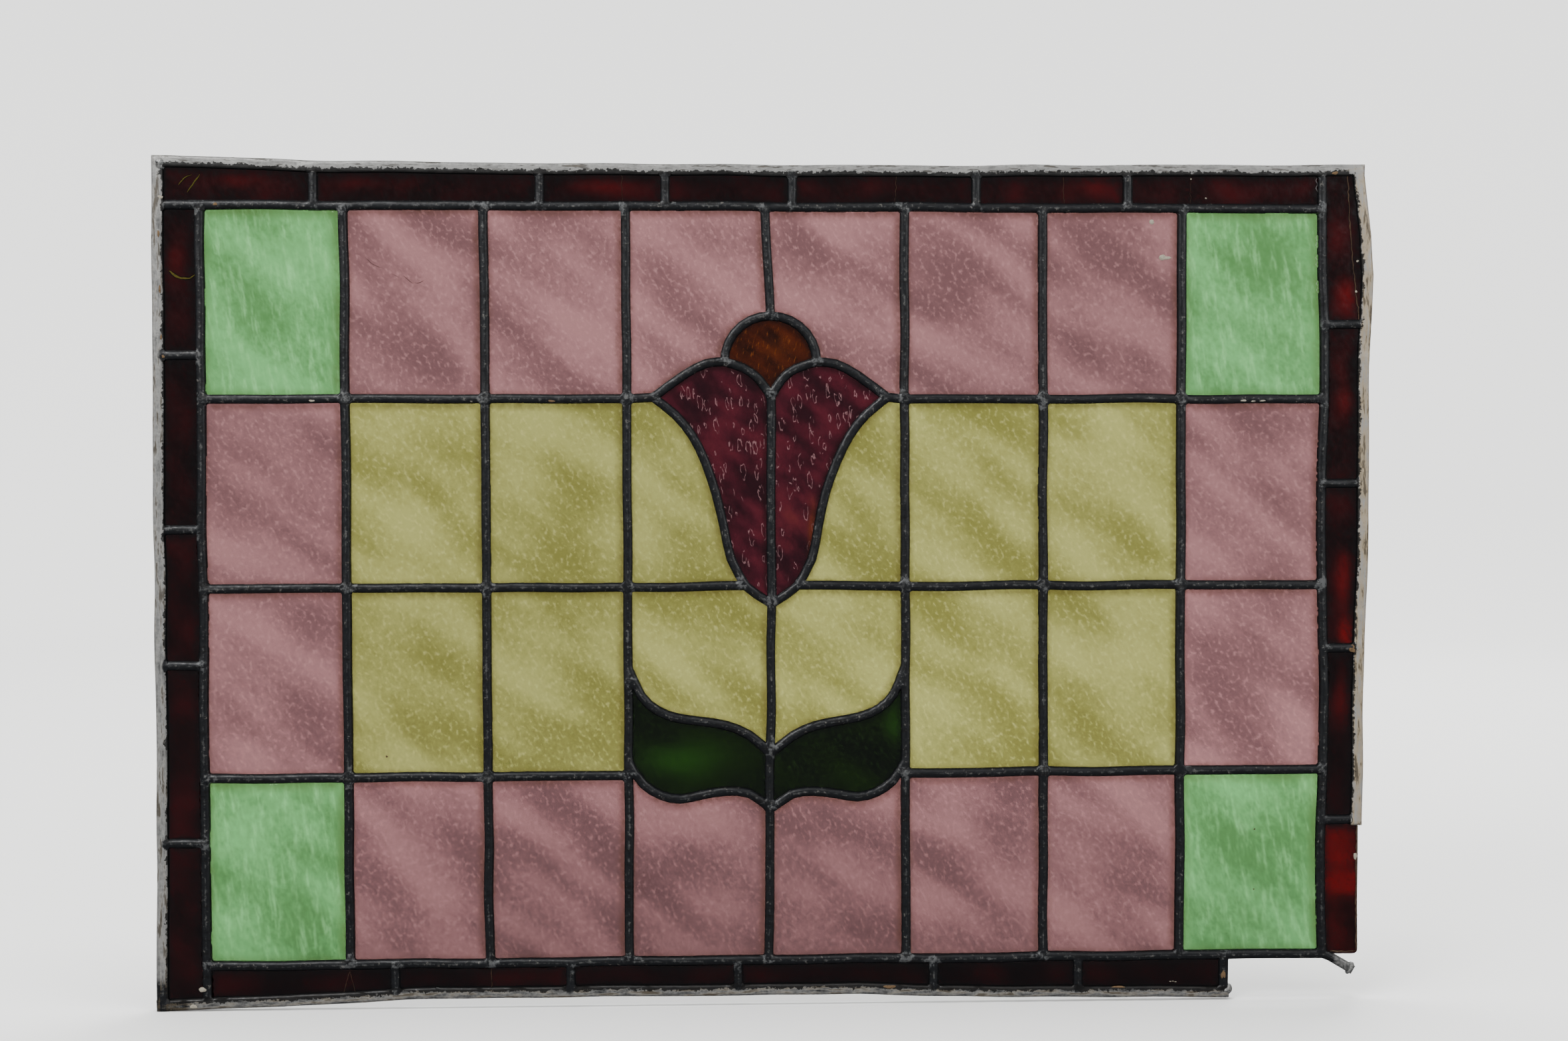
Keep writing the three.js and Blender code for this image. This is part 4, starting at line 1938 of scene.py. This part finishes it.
@dataclass(frozen=True)
class Marks:
    """All the marks of one kind.

    Attributes:
        name: The piece's name.
        coat: What they are made of.
        lumps: The lumps and splashes.
        cracks: The fine lines.
        slot: The record's material slot, if there is one; not used.
        layers: The layers that the coat reads, with one value each.
        seed: Sets the random draws.
    """

    name: str
    coat: DryCoat | WeatheredLead
    lumps: tuple[Lump, ...] = ()
    cracks: tuple[Crack, ...] = ()
    slot: Slot | None = None
    layers: tuple[tuple[str, float], ...] = ()
    seed: int = 70

    def build(self, setting: HandSetting) -> bpy.types.Object:
        """Builds the marks as one piece.

        Args:
            setting: How the lead and glass under them stray from the ruler.

        Returns:
            The marks, dressed.
        """
        relic = Relic(setting)
        draw = np.random.default_rng(self.seed)
        for mark in (*self.lumps, *self.cracks):
            mark.add(relic, draw)
        made = new_piece(self.name, np.array(relic.corners), relic.faces)
        made.data.materials.append(self.coat.material())
        paint(made, **{layer: np.full(len(relic.corners), value) for layer, value in self.layers})
        return made


LEAD_FACE = 3.3  # how far the face of a came stands in front of the panel's middle
LEADS = "lead_cames"

MARKS = (
    Marks(
        "paint_splashes",
        DryCoat("old cream paint", pale="#d6cdb8", dark="#a39678"),
        lumps=(
            Lump(Spot("mauve_r1_c7", 0.786, 0.934), (1.6, 1.7, 0.35), lumpy=0.4),
            Lump(Spot("mauve_r1_c7", 0.868, 0.747), (2.3, 2.0, 0.45), lumpy=0.4),
            Lump(Spot("mauve_r1_c7", 0.896, 0.744), (3.4, 1.2, 0.35), lumpy=0.4),
            Lump(Spot("ruby_right_5", 0.93, 0.735), (1.1, 2.6, 0.35)),
            Lump(Spot("ruby_top_7", 0.321, 0.708), (0.5, 0.5, 0.15)),
            Lump(Spot("ruby_top_7", 0.401, 0.218), (0.6, 0.5, 0.15)),
            Lump(Spot("ruby_right_1", 0.721, 0.405), (0.9, 0.7, 0.2)),
            Lump(Spot("ruby_right_1", 0.683, 0.203), (0.7, 1.0, 0.2)),
            Lump(Spot("ruby_sill_6", 0.645, 0.342), (0.7, 0.3, 0.1)),
            Lump(Spot("ruby_sill_6", 0.664, 0.35), (0.6, 0.3, 0.1)),
            Lump(Spot("ruby_sill_6", 0.682, 0.335), (0.7, 0.3, 0.1)),
            Lump(Spot(LEADS, 0.012, 0.952), (1.7, 1.1, 0.35), LEAD_FACE),
            Lump(Spot(LEADS, 0.038, 0.026), (2.8, 1.8, 0.4), 3.2),
            Lump(Spot("green_r1_c1", 0.78, -0.02), (2.0, 0.8, 0.25), LEAD_FACE),
            Lump(Spot("mauve_r1_c2", 0.93, -0.02), (2.0, 0.6, 0.2), LEAD_FACE),
            Lump(Spot(LEADS, 0.03, 0.006), (2.8, 1.2, 0.3), LEAD_FACE),
            Lump(Spot("green_r1_c8", 0.43, -0.018), (2.4, 0.6, 0.2), 3.35),
            Lump(Spot("green_r1_c8", 0.5, -0.022), (1.5, 0.5, 0.2), 3.35),
            Lump(Spot("green_r1_c8", 0.57, -0.02), (2.0, 0.5, 0.2), 3.35),
        ),
    ),
    Marks(
        "putty_lumps",
        DryCoat("old linseed putty", pale="#927656", dark="#4a3826"),
        lumps=(
            Lump(Spot(LEADS, 0.055, 0.944), (1.3, 1.1, 0.3), 3.4),
            Lump(Spot(LEADS, 0.0125, 0.768), (1.2, 1.0, 0.4), LEAD_FACE),
            Lump(Spot("mauve_r1_c3", 0.47, -0.02), (2.4, 0.7, 0.25), LEAD_FACE),
            Lump(Spot(LEADS, 0.968, 0.981), (2.0, 1.1, 0.4), LEAD_FACE),
            Lump(Spot(LEADS, 0.984, 0.419), (2.3, 3.0, 0.4), LEAD_FACE),
            Lump(Spot(LEADS, 0.8775, 0.03), (1.5, 3.2, 0.4), 3.2),
            Lump(Spot(LEADS, 0.0105, 0.91), (0.7, 2.6, 0.3), LEAD_FACE),
            Lump(Spot(LEADS, 0.0105, 0.845), (0.6, 3.2, 0.3), LEAD_FACE),
            Lump(Spot(LEADS, 0.011, 0.79), (0.6, 1.7, 0.3), LEAD_FACE),
            Lump(Spot(LEADS, 0.6, 0.02), (5.0, 1.0, 0.4), 3.0),
            Lump(Spot(LEADS, 0.79, 0.017), (4.4, 0.8, 0.4), 3.0),
        ),
        seed=71,
    ),
    Marks(
        "solder_beads",
        WeatheredLead(name="tinned lead"),
        lumps=(
            Lump(Spot(LEADS, 0.0112, 0.9905), (4.9, 5.2, 4.0), 0.0, lumpy=0.35),
            Lump(Spot(LEADS, 0.8815, 0.012), (3.7, 3.8, 4.0), 0.0, lumpy=0.5),
            Lump(Spot(LEADS, 0.9845, 0.036), (2.4, 4.6, 3.9), 0.0, lean=-32, lumpy=0.4),
        ),
        slot=Slot.LEAD,
        layers=(
            ("solder", 1.0),
            ("bloom", 0.72),
            ("tan", 0.42),
            ("ridge", 1.0),
            ("cement", NO_CEMENT),
            ("upright", 0.5),
        ),
        seed=72,
    ),
    Marks(
        "dirt_in_cracks",
        DryCoat("dirt in cracked glass", pale="#6a5340", dark="#20150e"),
        lumps=(
            Lump(Spot("yellow_r3_c2", 0.273, 0.104), (0.8, 0.7, 0.12)),
            Lump(Spot("green_r4_c8", 0.522, 0.683), (0.6, 0.6, 0.12)),
            Lump(Spot("green_r4_c8", 0.52, 0.353), (0.6, 0.5, 0.12)),
        ),
        cracks=(
            Crack(
                "ruby_right_1",
                ((0.5, 0.97), (0.544, 0.637), (0.606, 0.456), (0.683, 0.2), (0.746, 0.01)),
                1.1,
            ),
            Crack("ruby_sill_1", ((0.717, 0.1), (0.762, 0.883), (0.807, 0.12))),
            Crack("ruby_sill_2", ((0.542, 0.98), (0.55, 0.43), (0.537, 0.02)), 0.7),
            Crack("ruby_top_3", ((0.654, 0.97), (0.669, 0.05)), 0.35),
            Crack("ruby_top_5", ((0.567, 0.97), (0.56, 0.05)), 0.35),
            Crack("ruby_top_6", ((0.576, 0.97), (0.585, 0.05)), 0.35),
            Crack("ruby_top_7", ((0.321, 0.97), (0.318, 0.05)), 0.2),
            Crack("mauve_r1_c2", ((0.15, 0.73), (0.2, 0.695), (0.27, 0.68)), 0.32, proud=0.04),
            Crack("mauve_r1_c2", ((0.33, 0.65), (0.39, 0.63)), 0.24, proud=0.03),
            Crack("mauve_r1_c2", ((0.42, 0.64), (0.45, 0.622), (0.49, 0.6)), 0.42, proud=0.04),
            Crack("mauve_r1_c2", ((0.5, 0.606), (0.53, 0.6), (0.575, 0.617)), 0.32, proud=0.04),
            Crack("ruby_right_5", ((0.97, 0.99), (0.97, 0.4), (0.965, 0.02)), 1.3),
            Crack("ruby_right_5", ((0.2, 0.02), (0.6, 0.015), (0.95, 0.02)), 1.1),
        ),
        seed=73,
    ),
    Marks(
        "worn_flashing",
        DryCoat("ruby flash worn down to yellow", pale="#675c1b", dark="#332a0e"),
        cracks=(
            Crack("ruby_top_1", ((0.15, 0.4), (0.19, 0.58), (0.235, 0.63)), 1.3, proud=0.08),
            Crack("ruby_top_1", ((0.205, 0.24), (0.235, 0.4), (0.285, 0.64)), 1.6, proud=0.08),
            Crack(
                "ruby_left_1",
                ((0.35, 0.56), (0.51, 0.52), (0.68, 0.505), (0.83, 0.513), (0.95, 0.54)),
                2.4,
                proud=0.08,
            ),
        ),
        seed=74,
    ),
)


# ---------------------------------------------------------------- the studio


@dataclass(frozen=True)
class Viewpoint:
    """A camera a little left of the panel's middle, at its upper half, looking slightly down.

    Attributes:
        place: Where the camera stands, in metres.
        yaw: How far it looks to the right, in degrees.
        pitch: How far it looks up, in degrees.
        roll: How far it leans, in degrees.
        lens: Its focal length, in millimetres.
        sensor: The width of its sensor, in millimetres.
    """

    place: tuple[float, float, float] = (-0.0396, -1.5055, 0.3863)
    yaw: float = 1.968
    pitch: float = -2.109
    roll: float = -0.151
    lens: float = 50.0
    sensor: float = 36.0

    def build(self) -> None:
        """Makes the camera and gives it to the scene."""
        camera = bpy.data.objects.new("camera", bpy.data.cameras.new("camera"))
        camera.data.lens = self.lens
        camera.data.sensor_width = self.sensor
        camera.location = self.place
        facing = Euler((math.radians(90 + self.pitch), 0, math.radians(-self.yaw))).to_quaternion()
        camera.rotation_mode = "QUATERNION"
        camera.rotation_quaternion = facing @ Quaternion((0, 0, 1), math.radians(self.roll))
        bpy.context.scene.collection.objects.link(camera)
        bpy.context.scene.camera = camera


@dataclass(frozen=True)
class Lamp:
    """A soft rectangular studio lamp.

    Attributes:
        name: Which lamp it is.
        place: Where it hangs, in metres.
        aim: What it points at, in metres.
        size: Its width and height, in metres.
        power: Its power in watts.
    """

    name: str
    place: tuple[float, float, float]
    aim: tuple[float, float, float]
    size: tuple[float, float]
    power: float

    def build(self) -> bpy.types.Object:
        """Hangs the lamp, which gives light without being seen itself.

        Returns:
            The lamp.
        """
        data = bpy.data.lights.new(self.name, "AREA")
        data.shape = "RECTANGLE"
        data.size, data.size_y = self.size
        data.energy = self.power
        lamp = bpy.data.objects.new(self.name, data)
        lamp.location = self.place
        aim = Vector(self.aim) - Vector(self.place)
        lamp.rotation_mode = "QUATERNION"
        lamp.rotation_quaternion = aim.to_track_quat("-Z", "Y")
        lamp.visible_camera = False
        lamp.visible_transmission = False
        bpy.context.scene.collection.objects.link(lamp)
        return lamp


@dataclass(frozen=True)
class Studio:
    """A pale floor that sweeps up into a seamless wall all round, under soft light.

    Attributes:
        floor: The height of the floor, in metres.
        flat_radius: How far out the floor stays flat, in metres.
        sweep_radius: The radius of the sweep up into the wall, in metres.
        wall: The height of the wall, in metres.
        glow: How bright the cove is all over.
        pool: How much of that the floor lamp gives straight below it; the paint's own glow gives the rest.
        ambient: The strength of the light from all round.
        floor_lamp: Lights the cove alone, so that the panel casts a soft shadow at its foot.
        lamps: The lamps that light the panel.
    """

    floor: float
    flat_radius: float = 3.0
    sweep_radius: float = 2.4
    wall: float = 4.2
    glow: float = 1.9
    pool: float = 1.8
    ambient: float = 0.15
    floor_lamp: Lamp = Lamp("floor_lamp", (0.0, 0.0, 2.6), (0.0, 0.0, 0.0), (1.6, 1.6), 156.0)
    lamps: tuple[Lamp, ...] = (
        Lamp("key", (-1.5, -2.1, 2.3), (0.0, 0.0, 0.3), (1.4, 0.9), 70.0),
        Lamp("fill", (2.0, -2.0, 1.3), (0.0, 0.0, 0.3), (1.6, 1.6), 22.0),
        Lamp("back", (1.2, 2.3, 2.2), (0.0, 0.0, 0.3), (1.6, 1.0), 50.0),
    )

    def build(self) -> None:
        """Builds the cove, the world light and the lamps."""
        lit = bpy.data.collections.new("lit by the floor lamp")
        lit.objects.link(self.cove())
        self.floor_lamp.build().light_linking.receiver_collection = lit
        self.world()
        for lamp in self.lamps:
            lamp.build()

    def cove(self) -> bpy.types.Object:
        """Turns the cove's profile round the middle of the panel, and makes its paint glow.

        Returns:
            The cove, which is no part of the object.
        """
        sweep_rows, sides, first_ring, ring_gap = 25, 96, 0.02, 0.25
        turns = np.linspace(0, math.pi / 2, sweep_rows)
        flat = np.arange(first_ring, self.flat_radius - 0.1, ring_gap)
        radii = [*flat, *(self.flat_radius + self.sweep_radius * np.sin(turns))]
        heights = [*(flat * 0), *(self.sweep_radius * (1 - np.cos(turns)))]
        radii.append(radii[-1])
        heights.append(self.wall)
        around = np.linspace(0, math.tau, sides, endpoint=False)
        corners = [
            (radius * math.cos(angle), radius * math.sin(angle), self.floor + height)
            for radius, height in zip(radii, heights)
            for angle in around
        ]
        faces = [tuple(range(sides))]
        for row in range(len(radii) - 1):
            near = row * sides + np.arange(sides)
            step = np.stack([near, near + sides, np.roll(near, -1) + sides, np.roll(near, -1)], axis=1)
            faces.extend(map(tuple, step.tolist()))
        mesh = bpy.data.meshes.new("cove")
        mesh.from_pydata(corners, [], faces)
        mesh.shade_smooth()
        cove = bpy.data.objects.new("cove", mesh)
        cove.visible_diffuse = False
        cove.visible_glossy = False
        bpy.context.scene.collection.objects.link(cove)
        surface = {
            "Base Color": linear("#e4e4e2"),
            "Roughness": 0.9,
            "Specular IOR Level": 0.1,
            "Emission Color": linear("#fdfdfb"),
        }
        material, shader = new_material("matt white paint", surface)
        away2 = (np.array(corners)[:, :2] ** 2).sum(1)
        above2 = (self.floor_lamp.place[2] - self.floor) ** 2
        paint(cove, glow=self.glow - self.pool * (above2 / (above2 + away2)) ** 2)
        material.node_tree.links.new(painted(material.node_tree, "glow"), shader.inputs["Emission Strength"])
        mesh.materials.append(material)
        cove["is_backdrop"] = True
        return cove

    def world(self) -> None:
        """Lights the scene evenly from all round."""
        world = bpy.data.worlds.new("soft light")
        world.use_nodes = True
        world.node_tree.nodes.clear()
        background = add_node(
            world.node_tree,
            "ShaderNodeBackground",
            inputs={"Color": linear("#f4f6ff"), "Strength": self.ambient},
        )
        surface = {"Surface": background.outputs["Background"]}
        add_node(world.node_tree, "ShaderNodeOutputWorld", inputs=surface)
        bpy.context.scene.world = world


# ---------------------------------------------------------------- the work


def main() -> None:
    """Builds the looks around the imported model."""
    logging.basicConfig(level=logging.INFO, format="%(message)s")
    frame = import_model()
    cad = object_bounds()
    Viewpoint().build()
    Studio(floor=cad[0].z).build()
    setting = HandSetting()
    leads = LeadLattice(setting)
    leads.read(frame)
    lattice = leads.build()
    lattice.data.materials.append(WeatheredLead().material())
    LOG.info("%s: %d faces", lattice.name, len(lattice.data.polygons))
    for pane in Glazing(setting, leads).build(frame):
        LOG.info("%s: %d faces", pane.name, len(pane.data.polygons))
    for marks in MARKS:
        piece = marks.build(setting)
        LOG.info("%s: %d faces", piece.name, len(piece.data.polygons))


if __name__ == "__main__":
    main()
